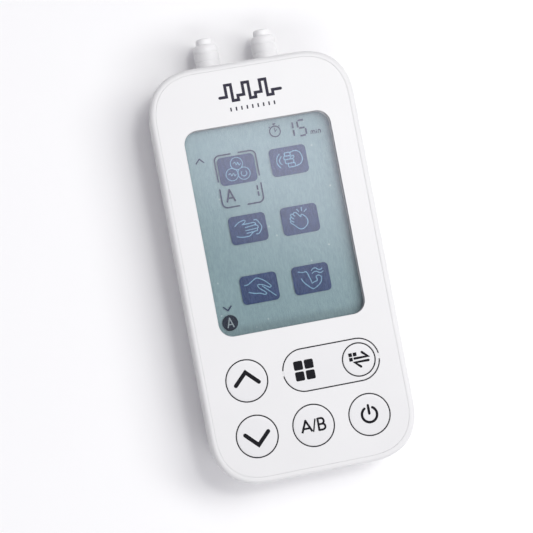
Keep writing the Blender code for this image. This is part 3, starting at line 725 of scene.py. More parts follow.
def rear_solid(mesh, wall, lowest, steps=22):
    """Adds the rear casing's outside, or with a wall, the room inside it."""
    rings = [(rear_outline(rear_inset(z) + wall), z) for z in rear_heights(lowest, steps)]
    if wall:
        rings.append((rings[-1][0], REAR_TOP + BEYOND))
    else:
        rings[-1] = (rear_outline(0.0), REAR_TOP - 0.12)
        rings.append((rear_outline(0.04), REAR_TOP - 0.03))
        rings.append((rear_outline(0.14), REAR_TOP))
    add_loft(mesh, rings)


def at_screws(mesh, radius, bottom, top):
    """Adds a cylinder at each case screw."""
    for name in SCREWS:
        add_prism(mesh, circle(middle(name).xy, radius, SMALL_ROUND), bottom, top)


def door_zone(mesh, clearance, end):
    """Adds the space that the battery door slides in: a plate with a tongue along each side."""
    tongue = DOOR_HALF + clearance
    width = tongue - TONGUE
    floor = TONGUE_LOW - clearance
    ceiling = DOOR_TOP + clearance
    section = [(width, -BEYOND), (width, floor), (tongue, floor), (tongue, ceiling)]
    section += [(-x, z) for x, z in reversed(section)]
    stand = Matrix.Translation((0, end, 0)) @ Matrix.Rotation(math.pi / 2, 4, "X")
    before = set(mesh.verts)
    add_prism(mesh, section, 0.0, 2 * HALF_LENGTH)
    bmesh.ops.transform(mesh, matrix=stand, verts=[v for v in mesh.verts if v not in before])


def rear_features():
    """What stands inside the rear casing: the bay's walls, the door's rails, the bosses and the block."""
    features = bmesh.new()
    outer = DOOR_HALF + RAIL_WALL
    for side in (-1, 1):
        start, end = sorted((side * BAY_HALF_WIDTH, side * outer))
        add_box(features, (start, -HALF_LENGTH, FEATURE_LOW), (end, END_WALL, RAIL_TOP))
        start, end = sorted((side * BAY_HALF_WIDTH, side * BAY_SIDE))
        add_box(features, (start, BAY_BOTTOM - BAY_WALL, FEATURE_LOW), (end, END_WALL, BAY_WALL_TOP))
    block = RECESS[0] / 2 + BLOCK_WALL
    for reach, bottom, end, top in (
        (BAY_SIDE, BAY_TOP, END_WALL, BAY_WALL_TOP),
        (BAY_SIDE, BAY_BOTTOM - BAY_WALL, BAY_BOTTOM, BAY_WALL_TOP),
        (outer, -HALF_LENGTH, BAY_BOTTOM, RAIL_TOP),
    ):
        add_box(features, (-reach, bottom, FEATURE_LOW), (reach, end, top))
    at_screws(features, BOSS_RADIUS, FEATURE_LOW, BOSS_TOP)
    add_box(features, (-block, RECESS_FLOOR - 1.9, FEATURE_LOW), (block, HALF_LENGTH, BAY_WALL_TOP))
    return features


def rear_openings():
    """The openings of the rear casing for the door, the battery bay and the screws."""
    openings = bmesh.new()
    door_zone(openings, CLEARANCE, DOOR_END + CLEARANCE)
    bay_end = (BAY_HALF_WIDTH, BAY_TOP, RAIL_TOP + BEYOND)
    add_box(openings, (-BAY_HALF_WIDTH, BAY_BOTTOM, DOOR_TOP), bay_end)
    at_screws(openings, SCREW_HOLE, COUNTERBORE_TOP - 0.1, BOSS_TOP + BEYOND)
    at_screws(openings, COUNTERBORE_RADIUS, -BEYOND, COUNTERBORE_TOP)
    return openings


def socket_recess():
    """The recess that the plugs enter, and the two holes in its floor."""
    recess = bmesh.new()
    outline = rounded(RECESS[0] / 2, RECESS[1] / 2, 2.0, steps=8)
    add_prism(recess, outline, RECESS_FLOOR, 2 * HALF_LENGTH)
    for side in (-1, 1):
        nose = circle((side * PLUG_X, 0.0), NOSE_RADIUS + CLEARANCE, SMALL_ROUND)
        add_prism(recess, nose, RECESS_FLOOR - 2 * WALL, RECESS_FLOOR + 0.1)
    bmesh.ops.transform(recess, matrix=along_y(0), verts=recess.verts)
    return recess


def make_rear():
    """The rear casing: a bowl with the battery bay, the socket block and the screw bosses."""
    outside, inside = bmesh.new(), bmesh.new()
    rear_solid(outside, 0.0, 0.0)
    rear_solid(inside, WALL, WALL, 12)
    room = combined(inside, [("DIFFERENCE", rear_features())], edge=0.0)
    cuts = [("DIFFERENCE", cut) for cut in (room, rear_openings(), socket_recess())]
    finish_piece("casing_rear", combined(outside, cuts, edge=0.15), rear_finish, "rear_shell")


def make_door():
    """The sliding battery door, with thumb grooves and an arrow that shows which way it slides."""
    outside = bmesh.new()
    rear_solid(outside, 0.0, 0.0)
    zone = bmesh.new()
    door_zone(zone, 0.0, DOOR_END)
    marks = bmesh.new()
    for row in range(GRIP_ROWS):
        y = DOOR_END - 4.4 - GRIP_PITCH * row
        reach = 6.4 - 0.12 * row * row
        groove = rounded(reach, 0.36, 0.35, (0.0, y), steps=6)
        add_prism(marks, groove, -BEYOND, GRIP_DEPTH)
    tip = DOOR_END - 15.6
    arrow = [(0.0, tip), (2.6, tip + 2.2), (-2.6, tip + 2.2)]
    add_prism(marks, arrow, -BEYOND, ARROW_DEPTH)
    mesh = combined(outside, [("INTERSECT", zone), ("DIFFERENCE", marks)], edge=0.12)
    finish_piece("cover_battery", mesh, rear_finish, "battery_door", body="battery cover")


# Display
TILE = (10.85, 8.2)
TILE_RADIUS = 1.3
TILE_X = (-7.43, 7.88)
TILE_Y = (29.48, 12.15, -5.25)
SEGMENT_LOW = 16.86
SEGMENT_TOP = 16.9
STROKE_TOP = 16.95
BACK_TOP = 16.55
FRONT_GLASS_LOW = 17.0
FINE = 0.27
FINEST = 0.215
GRAIN = 0.34
GRAIN_SHARE = 0.22
GRAIN_TURN = 38
FRAME = (-13.47, -1.37, 19.1, 34.3)
FRAME_BEND = 1.5
FRAME_WIDTH = 0.4
SEGMENT_GAP = 0.14

# The two ends of each segment of a digit, in widths and half heights from its lower left corner
SEGMENTS = {
    "a": ((0, 2), (1, 2)),
    "b": ((1, 2), (1, 1)),
    "c": ((1, 1), (1, 0)),
    "d": ((0, 0), (1, 0)),
    "f": ((0, 2), (0, 1)),
    "g": ((0, 1), (1, 1)),
}

# The digits of the display: the lit segments, the place, the width and height, and the stroke
DIGITS = (
    ("bc", -4.3, 20.7, 1.7, 3.6, 0.42),
    ("bc", 9.2, 36.0, 1.7, 4.5, 0.48),
    ("afgcd", 12.35, 36.0, 2.15, 4.5, 0.48),
)

# The arrows at the left edge, above and below the programmes
ARROWS = (
    [(-18.8, 33.1), (-17.7, 34.3), (-16.55, 33.1)],
    [(-18.75, -8.8), (-17.6, -9.95), (-16.5, -8.8)],
)
ARROW_WIDTH = 0.34

# The display's pieces: the name and the colour of each one's finish
FIGURES = {
    "lcd_tiles": ("lcd_navy", (0.018, 0.04, 0.115)),
    "lcd_lines": ("lcd_dark", (0.02, 0.03, 0.075)),
    "lcd_disc": ("lcd_ink", (0.004, 0.01, 0.024)),
    "lcd_letter": ("lcd_pale", (0.24, 0.28, 0.3)),
    # The sign lines stand for the display's back seen through openings in the tiles: their colour is the
    # back's own tone made darker and bluer by a painted shadow of the tiles.
    "lcd_signs": ("lcd_back_painted_shadow", (0.16, 0.3, 0.42)),
}


def slanting_grain(made):
    """The fine slanting grain that the display's layers share."""
    return made.noise(GRAIN, 1.0, place=made.drawn_out(GRAIN_SHARE, GRAIN_TURN))


def lcd_back_finish():
    """The grey-green back of the display, with a few pale specks."""
    made = Finish("lcd_grey_green", 0.55)
    grain = slanting_grain(made)
    tone = made.blend(made.noise(22.0, 2.0), (0.223, 0.331, 0.354), (0.242, 0.354, 0.38))
    darker = made.blend(grain, tone, (0.168, 0.25, 0.283), 0.35, 0.65, 0.42)
    made.colour(made.blend(made.cells(4.2), darker, (0.5, 0.58, 0.6), 0.075, 0.045, 0.55))
    made.rough(made.between(grain, 0.45, 0.65))
    made.bump(grain, 0.004, 0.4)
    return made


def segment_finish(name, colour):
    """Switched liquid crystal, which is a dark film."""
    made = film(name, 0.5)
    grain = slanting_grain(made)
    made.colour(made.blend(grain, colour, scaled(colour, 1.4, 0.012), 0.35, 0.65))
    made.rough(made.between(grain, 0.42, 0.58))
    made.bump(grain, 0.002, 0.3)
    return made


def moved(points, x, y):
    """Points moved by x and y."""
    return [(px + x, py + y) for px, py in points]


def lcd_line(mesh, points, width, x=0.0, y=0.0, rise=0.0, closed=False, square=True):
    """Adds a dark line of the display, moved by x and y."""
    add_line(mesh, moved(points, x, y), width, SEGMENT_LOW, SEGMENT_TOP + rise, closed, square)


def seven_segments(mesh, lit, x, y, width, height, stroke):
    """Adds the lit segments of a digit whose lower left corner is at x, y."""
    for name in lit:
        start, end = (Vector((across * width, up * height / 2)) for across, up in SEGMENTS[name])
        way = (end - start).normalized()
        ends = [start + way * (SEGMENT_GAP + stroke / 4), end - way * (SEGMENT_GAP + stroke / 4)]
        lcd_line(mesh, ends, stroke, x, y)


def letter_a(mesh, x, y, width, height, stroke, bottom, top):
    """Adds a capital A whose lower left corner is at x, y."""
    legs = [(0, 0), (width / 2 - 0.02, height), (width / 2 + 0.02, height), (width, 0)]
    add_line(mesh, moved(legs, x, y), stroke, bottom, top, square=True)
    bar = [(width * 0.2, height * 0.32), (width * 0.8, height * 0.32)]
    add_line(mesh, moved(bar, x, y), stroke * 0.9, bottom, top + 0.004, square=True)


def selection_frame(mesh):
    """Adds the four corner pieces of the frame round the chosen programme."""
    left, right, bottom, top = FRAME
    for side_x, edge_x in ((-1, left), (1, right)):
        for side_y, edge_y, stop in ((1, top, 26.7), (-1, bottom, 24.7)):
            x = edge_x - side_x * FRAME_BEND
            y = edge_y - side_y * FRAME_BEND
            points = [((left + right) / 2 + side_x * 1.05, edge_y)]
            points += [(x + side_x * FRAME_BEND * s, y + side_y * FRAME_BEND * c) for c, s in quarter(8)]
            lcd_line(mesh, points + [(edge_x, stop)], FRAME_WIDTH)


def small_word(mesh):
    """Adds the unit of time beside the digits."""
    x, y, height, stroke = 15.75, 35.95, 0.95, 0.24
    for start in (0.0, 0.62):
        hump = [(start, 0), (start, height * 0.72)]
        hump += arc((start + 0.31, height * 0.66), 0.31, 180, 0, 8) + [(start + 0.62, 0)]
        lcd_line(mesh, hump, stroke, x, y, rise=start * 0.01)
    hump = [(2.2, 0), (2.2, height * 0.7)] + arc((2.55, height * 0.64), 0.35, 180, 0, 8) + [(2.9, 0)]
    for line in ([(1.72, 0), (1.72, 0.78)], [(1.72, 1.02), (1.72, 1.2)], hump):
        lcd_line(mesh, line, stroke, x, y)


def stopwatch(mesh):
    """Adds the clock sign."""
    x, y = 5.5, 38.5
    lcd_line(mesh, circle((0.0, 0.0), 1.55, 40), 0.32, x, y, closed=True)
    for line in (
        [(0.0, 1.75), (0.0, 2.15)],
        [(-0.5, 2.2), (0.5, 2.2)],
        [(1.3, 1.3), (1.55, 1.55)],
        [(-1.3, 1.3), (-1.55, 1.55)],
    ):
        lcd_line(mesh, line, 0.3, x, y, rise=0.003)
    lcd_line(mesh, [(0.0, 1.0), (0.0, -0.1), (0.45, 0.4)], 0.24, x, y, square=False)


def curve(*points):
    """A smooth open line of a sign."""
    return smooth(points), False


def rings_sign():
    """Three rings with a small scribble in each."""
    centres = ((0.1, 1.75), (-1.7, -1.2), (1.75, -1.35))
    return [(circle(centre, 1.78, 40), True) for centre in centres] + [
        curve((-0.95, 1.8), (-0.35, 2.2), (0.0, 1.4), (0.5, 2.0), (0.8, 1.2), (1.2, 1.6)),
        curve((-2.7, -1.1), (-2.2, -0.8), (-1.85, -1.5), (-1.25, -0.85), (-1.0, -1.7), (-0.6, -1.3)),
        (arc(centres[2], 0.8, 130, 400, 16), False),
    ]


def fist_sign():
    """A fist that shakes."""
    fingers = (
        (-0.15, 1.9, 0.85, 0.5),
        (-0.35, 0.93, 0.98, 0.5),
        (0.15, -0.2, 1.25, 0.58),
        (0.65, -1.35, 1.05, 0.56),
    )
    back = [(0.6, 2.2), (1.6, 2.55), (2.7, 2.5), (3.6, 1.8), (4.0, 0.6), (3.9, -0.4), (3.2, -1.4)]
    return [(rounded(reach, half, 0.35, (x, y), steps=5), True) for x, y, reach, half in fingers] + [
        curve(*back, (1.6, -1.9)),
        curve((0.85, 1.5), (1.05, 1.15), (1.5, 1.3), (1.65, 0.8), (1.1, 0.38)),
        curve((-2.5, 2.3), (-3.3, 1.3), (-3.5, -0.3), (-2.75, -1.65)),
        curve((-2.0, 1.45), (-2.65, 0.7), (-2.65, -0.2), (-2.2, -0.8)),
    ]


def flat_hand_sign():
    """A flat hand that strokes."""
    return [
        curve((-3.75, 1.25), (-2.6, 2.15), (-1.0, 2.6), (-0.55, 2.35), (-0.85, 1.85), (-1.6, 1.4)),
        curve((-1.6, 1.4), (0.0, 1.45), (1.75, 1.5), (2.25, 1.15), (2.0, 0.8), (-0.85, 0.45)),
        curve((2.0, 0.8), (2.7, 0.5), (2.85, 0.05), (2.5, -0.25), (-0.85, -0.45)),
        curve((2.5, -0.25), (2.55, -0.7), (2.05, -1.0), (-0.65, -1.25)),
        curve((1.8, -1.0), (0.95, -1.4), (0.1, -2.1), (-1.05, -2.2), (-2.5, -2.1), (-3.65, -1.75)),
        curve((2.0, 2.2), (2.65, 2.2), (3.15, 1.65), (3.9, 0.1), (3.5, -1.05), (2.75, -1.85), (2.05, -1.9)),
    ]


def cupped_hand_sign():
    """A cupped hand that taps, with three rays."""
    heel = (0.6, -2.7)
    return [
        curve((0.35, 0.8), (0.7, 1.4), (1.65, 0.65), (2.15, -0.4), (2.05, -1.35), (1.45, -2.15), heel),
        curve(heel, (-0.3, -2.75), (-1.1, -2.2), (-2.0, -1.3), (-2.9, -0.4), (-2.6, -0.05), (-1.9, -0.45)),
        curve((-2.6, 0.0), (-2.85, 0.7), (-2.45, 0.95), (-1.75, 0.45)),
        curve((-2.3, 1.0), (-2.55, 1.65), (-2.05, 1.9), (-1.35, 1.2)),
        curve((-1.75, 1.85), (-1.4, 2.2), (-0.8, 2.1), (0.3, 0.75)),
        ([(-0.45, 3.05), (0.0, 2.35)], False),
        ([(0.95, 3.4), (0.9, 2.4)], False),
        ([(2.3, 2.65), (1.6, 2.1)], False),
    ]


def pressing_hand_sign():
    """A hand that presses with a fingertip."""
    back = [(-4.15, 1.5), (-3.1, 1.6), (-1.4, 2.6), (-0.2, 3.0)]
    return [
        curve(*back, (1.5, 2.1), (2.5, 1.2), (3.4, 0.1), (2.9, -0.3)),
        curve((2.9, -0.3), (1.5, 0.6), (0.45, 1.0), (-0.4, 1.0), (-0.4, 0.6), (0.0, -0.1), (0.95, -0.85)),
        curve((0.95, -0.85), (1.75, -1.7), (1.15, -2.0), (-0.1, -1.45), (-1.55, -1.25), (-3.25, -0.7)),
        ([(0.85, 0.5), (4.3, -2.85)], False),
    ]


def flexed_arm_sign():
    """A bent arm below two waves."""
    elbow = (-0.05, -1.35)
    return [
        curve((-3.45, 2.55), (-2.3, 2.2), (-1.25, 2.25), (-0.85, 1.7), (-0.55, 0.7), (-0.2, -0.35), elbow),
        curve(elbow, (0.7, -1.0), (1.45, -0.85), (1.65, -0.3), (1.45, 0.25), (1.8, 0.65), (2.4, 0.65)),
        curve((2.4, 0.65), (2.95, 0.1), (2.9, -0.6), (2.6, -1.35), (1.8, -2.1), (0.8, -2.7), (0.0, -2.95)),
        curve((0.0, -2.95), (-0.65, -2.5), (-1.65, -1.5), (-2.4, -0.6), (-2.9, 0.45)),
        curve((0.45, 2.35), (1.0, 2.8), (1.75, 2.85), (2.3, 2.4), (2.95, 2.15), (3.6, 2.45)),
        curve((0.55, 1.5), (1.1, 1.8), (1.85, 1.85), (2.55, 1.4), (3.2, 1.3), (3.75, 1.6)),
    ]


SIGNS = (
    (rings_sign, fist_sign),
    (flat_hand_sign, cupped_hand_sign),
    (pressing_hand_sign, flexed_arm_sign),
)


def add_tiles(tiles, signs):
    """Adds the six dark tiles and their signs."""
    for y, row in zip(TILE_Y, SIGNS):
        for x, sign in zip(TILE_X, row):
            outline = rounded(TILE[0] / 2, TILE[1] / 2, TILE_RADIUS, (x, y), steps=8)
            add_prism(tiles, outline, SEGMENT_LOW, SEGMENT_TOP)
            width = FINEST if sign is rings_sign else FINE
            for number, (points, closed) in enumerate(sign()):
                raised = STROKE_TOP + 0.003 * number
                # The sign lines lie lit on top of the tile, and the tile's shadow on the back below is
                # painted into their colour.
                add_line(signs, moved(points, x, y), width, SEGMENT_TOP - 0.01, raised, closed)


def add_lcd_lines(mesh):
    """Adds the dark letters, digits, arrows and frame of the display."""
    selection_frame(mesh)
    letter_a(mesh, -12.0, 20.6, 2.4, 3.5, 0.5, SEGMENT_LOW, SEGMENT_TOP)
    for digit in DIGITS:
        seven_segments(mesh, *digit)
    small_word(mesh)
    stopwatch(mesh)
    for arrow in ARROWS:
        lcd_line(mesh, arrow, ARROW_WIDTH, square=False)


def make_display():
    """The display: its back, its dark and light figures and its front glass."""
    half = (high("lcd_glass") - middle("lcd_glass")).xy
    outline = rounded(half.x, half.y, 1.0, middle("lcd_glass").xy)
    mesh = bmesh.new()
    add_prism(mesh, outline, GLASS_LOW, BACK_TOP)
    finish_piece("lcd_back", mesh, lcd_back_finish(), "lcd_glass")
    mesh = bmesh.new()
    add_prism(mesh, outline, FRONT_GLASS_LOW, GLASS_TOP)
    glass = clear("lcd_front_glass", roughness=0.42, grain=0.2, grain_depth=0.004, ior=1.11)
    finish_piece("lcd_front", mesh, glass)

    meshes = {name: bmesh.new() for name in FIGURES}
    add_tiles(meshes["lcd_tiles"], meshes["lcd_signs"])
    add_lcd_lines(meshes["lcd_lines"])
    add_prism(meshes["lcd_disc"], circle((-17.65, -13.5), 2.25), SEGMENT_LOW, SEGMENT_TOP)
    letter_a(meshes["lcd_letter"], -18.55, -14.85, 1.8, 2.7, 0.34, SEGMENT_TOP - 0.01, STROKE_TOP)
    for name, (finish, colour) in FIGURES.items():
        finish_piece(name, meshes[name], segment_finish(finish, colour))


def make_window():
    """The clear window over the display, with the flange that holds it."""

    def pane(inset):
        return window_outline(-inset)

    flange = window_outline(WINDOW_FLANGE)
    flange_top = WINDOW_LOW + 0.4
    rings = [(flange, WINDOW_LOW), (flange, flange_top), (pane(WINDOW_GAP), flange_top)]
    rings += edge_rings(pane, WINDOW_GAP, WINDOW_TOP, SMALL_EDGE)
    mesh = bmesh.new()
    add_loft(mesh, rings)
    sheen = (0.9, 0.88, 1.0)
    finish = clear("window_clear", roughness=0.145, grain=3.0, grain_depth=0.01, ior=1.24, sheen=sheen)
    finish_piece("window", mesh, finish, "display_window")


# Keys and their signs


def make_key(name):
    """A round key with a flange under the face, a soft edge and a slight crown."""
    centre = middle("key_" + name).xy
    radius = key_radius(name)
    flange = circle(centre, key_reach(name))

    def ring(inset):
        return circle(centre, radius - inset)

    rings = [(flange, KEY_LOW), (flange, KEY_FLANGE_TOP), (ring(0.0), KEY_FLANGE_TOP)]
    rings += edge_rings(ring, 0.0, KEY_TOP - KEY_CROWN, KEY_EDGE)
    for share in (0.85, 0.65, 0.45, 0.25, 0.08):
        rise = KEY_CROWN * (1 - share * share)
        rings.append((circle(centre, radius * share), KEY_TOP - KEY_CROWN + rise))
    mesh = bmesh.new()
    add_loft(mesh, rings)
    finish_piece("cap_" + name, mesh, key_finish, "key_" + name, name + " key")


def make_mode_key():
    """The pill-shaped key, with the hole that the swap key moves in."""
    centre = middle("key_swap").xy
    reach = hole_radius("swap")
    flange = pill_outline(KEY_FLANGE)

    def pill(inset):
        return pill_outline(-SEAL_EXTRA - inset)

    sides = [(flange, KEY_LOW), (flange, KEY_FLANGE_TOP), (pill(0.0), KEY_FLANGE_TOP)]
    sides += edge_rings(pill, 0.0, KEY_TOP, KEY_EDGE)
    step = KEY_FLANGE_TOP + 0.7
    hole = hole_rings(round_outline(centre, reach), KEY_TOP, step, 0.05)
    wide = circle(centre, reach - SEAL_EXTRA + SWAP_FLANGE)
    hole += [(wide, step), (wide, KEY_LOW)]
    mesh = bmesh.new()
    add_plate(mesh, sides, [hole])
    finish_piece("cap_mode", mesh, key_finish, "key_mode", "mode key")


def legend(name, mesh, body, finish=black_ink):
    """Adds a printed sign."""
    finish_piece(name, mesh, finish, body=body, weighted=False)


def print_line(mesh, points, width, drop=0.0, square=False):
    """Adds a printed line, whose top is drop lower where it crosses another."""
    add_line(mesh, points, width, PRINT_LOW, PRINT_TOP - drop, square=square)


def make_chevron(name, x, y, way):
    """A printed chevron that points up or down."""
    reach, rise, stroke = 3.35, 1.66, 1.15
    mesh = bmesh.new()
    points = [(x - reach, y - way * rise), (x, y + way * rise), (x + reach, y - way * rise)]
    print_line(mesh, points, stroke)
    legend("legend_" + name, mesh, name + " key")


def make_squares():
    """The four squares on the mode key."""
    mesh = bmesh.new()
    pill = middle("key_mode").xy
    for x in (-9.5, -6.37):
        for y in (1.5, -1.6):
            square = rounded(1.325, 1.325, 0.45, (pill.x + x, pill.y + y), steps=6)
            add_prism(mesh, square, PRINT_LOW, PRINT_TOP)
    legend("legend_mode", mesh, "mode key")


def make_swap_sign():
    """Two half arrows beside three small squares."""
    mesh = bmesh.new()
    x, y = middle("key_swap").xy
    for dx, dy in ((-2.25, 1.65), (-0.92, 1.65), (-2.25, 0.35)):
        add_prism(mesh, rounded(0.53, 0.53, 0.12, (x + dx, y + dy), steps=4), PRINT_LOW, PRINT_TOP)
    upper = [(-1.15, 0.5), (2.75, 0.5), (1.25, 1.9)]
    lower = [(2.72, -0.65), (-1.25, -0.65), (0.28, -2.1)]
    for number, line in enumerate((upper, lower)):
        print_line(mesh, moved(line, x, y), 0.72, 0.003 * number)
    legend("legend_swap", mesh, "swap key")


def make_channel_sign():
    """The letters A and B with a stroke between them."""
    mesh = bmesh.new()
    x, y = middle("key_channel").xy
    low_y = y - 1.62
    height = 3.3
    half = height / 2
    stem_x = x + 1.4
    letter_a(mesh, x - 3.6, low_y, 2.95, height, 0.62, PRINT_LOW, PRINT_TOP - 0.01)
    print_line(mesh, [(x - 0.35, low_y - 0.2), (x + 0.72, low_y + height + 0.15)], 0.42, square=True)
    stem = [(stem_x, low_y - 0.2), (stem_x, low_y + height + 0.2)]
    print_line(mesh, stem, 0.62, 0.012, square=True)
    for base, rise, reach in ((low_y, half - 0.02, 1.9), (low_y + half - 0.02, half + 0.02, 1.7)):
        bow = [(stem_x - 0.05, base), (stem_x - 0.15 + reach - rise / 2, base)]
        bow += arc((stem_x + reach - rise / 2, base + rise / 2), rise / 2, -90, 90, 16)
        bow += [(stem_x - 0.05, base + rise)]
        print_line(mesh, bow, 0.58, 0.003 * reach, square=True)
    legend("legend_channel", mesh, "channel key")


def make_power_sign():
    """An open ring with an upright stroke."""
    mesh = bmesh.new()
    x, y = middle("key_power").xy
    print_line(mesh, arc((x, y), 2.2, 122, 418, 40), 0.73)
    print_line(mesh, [(x, y + 2.65), (x, y + 0.3)], 0.73, 0.004)
    legend("legend_power", mesh, "power key")


def make_legends():
    """The signs printed on the keys."""
    for name, way in (("up", 1), ("down", -1)):
        x, y = middle("key_" + name).xy
        make_chevron(name, x, y + way * 0.78, way)
    make_squares()
    make_swap_sign()
    make_channel_sign()
    make_power_sign()


def make_emblem():
    """A pulse trace above a row of level marks, printed between the window and the plugs."""
    mesh = bmesh.new()
    base, peak, dip = 50.2, 53.6, 48.9
    points = [(-9.0, base)]
    for start in (-7.0, -1.9, 3.2):
        points += [(start, base), (start, peak), (start + 1.7, peak), (start + 1.7, dip)]
        points += [(start + 3.3, dip), (start + 3.3, base)]
    points.append((8.9, base))
    print_line(mesh, points, 0.85)
    for number in range(9):
        x = -6.4 + 1.6 * number
        print_line(mesh, [(x, 45.9), (x, 47.0)], 0.42, square=True)
    legend("emblem", mesh, "casing", emblem_ink)


# Plugs, screws and cells
BOOT_GROOVES = (63.0, 65.55)
BOOT_SHOULDER = 66.1
BOOT_RISE = 1.9
BOOT_TIP = 2.42
BOOT_BORE = 1.55
BOOT_EDGE = 0.7
PIN_RADIUS = 1.25


def boot_profile():
    """Half the section of a plug's boot, as (radius, y)."""
    radius, tip, seat = BOOT_RADIUS, BOOT_TIP, BOOT_START + 5.0
    profile = [(0, seat), (BOOT_BORE, seat), (BOOT_BORE, BOOT_START), (radius - 0.3, BOOT_START)]
    profile += [(radius - 0.1, BOOT_START + 0.08), (radius, BOOT_START + 0.3)]
    dip = ((-0.38, 0), (-0.24, 0.04), (-0.06, 0.13), (0.06, 0.13), (0.24, 0.04), (0.38, 0))
    for groove in BOOT_GROOVES:
        profile += [(radius - depth, groove + along) for along, depth in dip]
    narrowing = radius - tip - 0.1
    for c, s in quarter(10)[1:-1]:
        profile.append((radius - narrowing * (1 - c), BOOT_SHOULDER + BOOT_RISE * s))
    profile += [(tip, BOOT_SHOULDER + BOOT_RISE + rise) for rise in (0.06, 0.2)]
    for c, s in quarter(6):
        profile.append((tip - BOOT_EDGE * (1 - c), BOOT_END - BOOT_EDGE * (1 - s)))
    return profile + [(0, BOOT_END)]


def pin_profile(start, end):
    """Half the section of a plug's pin, as (radius, y), with its tip, neck and insulating rings."""
    tip = [(0, 0.0), (0.35, 0.05), (0.62, 0.2), (1.05, 0.8), (1.22, 1.1), (1.2, 1.3), (0.92, 1.8)]
    tip += [(0.92, 2.0), (1.2, 2.4), (PIN_RADIUS, 2.6)]
    pin = [(radius, start + along) for radius, along in tip]
    for ring in (start + 5.2, start + 8.6):
        pin += [(PIN_RADIUS, ring), (1.15, ring + 0.06), (1.15, ring + 0.5), (PIN_RADIUS, ring + 0.56)]
    return pin + [(PIN_RADIUS, end), (0, end)]


def make_plugs():
    """The two lead plugs: boots with grip grooves, and their pins."""
    nickel = metal("nickel", (0.72, 0.7, 0.66), 0.22)
    for side, name in ((-1, "left"), (1, "right")):
        place = along_y(side * PLUG_X)
        pin = pin_profile(low("plug_pin_" + name).y, high("plug_pin_" + name).y)
        parts = (("boot", boot_profile(), ROUND, boot_finish), ("pin", pin, SMALL_ROUND, nickel))
        for part, profile, steps, finish in parts:
            mesh = bmesh.new()
            add_turned(mesh, profile, steps, place)
            slot = "plug_" + part
            node = f"{slot}_{name}"
            finish_piece(f"{part}_{name}", mesh, finish, node, name + " plug", sharp=50)


def screw_profile(start, end):
    """Half the section of a case screw, as (radius, z), with its domed head and its thread."""
    profile = [(0, start), (1.3, start), (1.62, start + 0.08), (1.88, start + 0.28)]
    profile += [(2.0, start + 0.6), (2.0, start + 1.4), (1.92, start + 1.5), (1.0, start + 1.5)]
    for turn in range(14):
        at = start + 2.2 + 0.7 * turn
        profile += [(0.82, at), (1.0, at + 0.3), (0.82, at + 0.6)]
    return profile + [(0.3, end), (0, end)]


def make_screws():
    """Case screws with a cross recess."""
    steel = metal("screw_steel", (0.42, 0.42, 0.43), 0.3, grain=0.12)
    for number, node in enumerate(SCREWS, 1):
        start = low(node).z
        place = Matrix.Translation((middle(node).x, middle(node).y, 0))
        head = bmesh.new()
        add_turned(head, screw_profile(start, high(node).z), SMALL_ROUND, place)
        cross = bmesh.new()
        for angle in (20, 110):
            before = set(cross.verts)
            wide = [(-1.15, -0.26), (1.15, -0.26), (1.15, 0.26), (-1.15, 0.26)]
            deep = [(px * 0.45, py * 0.6) for px, py in wide]
            add_loft(cross, [(wide, start - 0.1), (deep, start + 0.95)])
            turn = place @ Matrix.Rotation(math.radians(angle), 4, "Z")
            bmesh.ops.transform(cross, matrix=turn, verts=[v for v in cross.verts if v not in before])
        mesh = combined(head, [("DIFFERENCE", cross)], edge=0.0)
        finish_piece(f"screw_{number}", mesh, steel, node)


def cell_finish():
    """A cell's printed sleeve, dark in the middle and gold towards both ends."""
    made = Finish("cell_sleeve", 0.3, metallic=0.35)
    scuff = made.noise(1.4, 5.0)
    along = made.node("ShaderNodeSeparateXYZ", Vector=made.place).outputs["Y"]
    from_middle = made.math("ABSOLUTE", made.math("ADD", along, 28.5 * MM))
    body = made.blend(scuff, (0.03, 0.05, 0.085), (0.05, 0.075, 0.115), 0.4, 0.75)
    made.colour(made.blend(from_middle, body, (0.5, 0.36, 0.14), 14.5 * MM, 14.7 * MM))
    made.rough(made.between(scuff, 0.22, 0.42))
    made.bump(scuff, 0.01, 0.3)
    return made


def cell_profile(radius, length):
    """Half the section of a cell, as (radius, distance from its flat end)."""
    body = length - 1.0
    profile = [(0, 0.25), (2.6, 0.25), (2.9, 0.1), (radius - 0.9, 0.1), (radius - 0.6, 0.0)]
    profile += [(radius - 0.25, 0.08), (radius - 0.05, 0.28), (radius, 0.6), (radius, body - 0.6)]
    profile += [(radius - 0.05, body - 0.28), (radius - 0.25, body - 0.08), (radius - 0.6, body)]
    profile += [(radius - 0.9, body - 0.1), (2.0, body - 0.12), (1.9, body - 0.05)]
    return profile + [(1.85, length - 0.25), (1.6, length), (0, length)]


def make_cells():
    """Three cells with a rolled rim at each end and a raised plus pole."""
    sleeve = cell_finish()
    end_steel = metal("cell_end_steel", (0.66, 0.66, 0.64), 0.28)
    for name, facing in (("left", 1), ("middle", -1), ("right", 1)):
        node = "battery_" + name
        x, _, z = middle(node)
        start = low(node).y if facing > 0 else high(node).y
        radius = high(node).x - x
        profile = cell_profile(radius, high(node).y - low(node).y)
        place = Matrix.Translation((x, start, z)) @ Matrix.Rotation(-facing * math.pi / 2, 4, "X")
        mesh = bmesh.new()
        add_turned(mesh, profile, ROUND, place)
        piece = finish_piece("cell_" + name, mesh, sleeve, node, sharp=50)
        piece.data.materials.append(end_steel.material)
        for face in piece.data.polygons:
            across = math.hypot(face.center.x / MM - x, face.center.z / MM - z)
            if across < radius - 0.3:
                face.material_index = 1


# Finishes of the parts inside


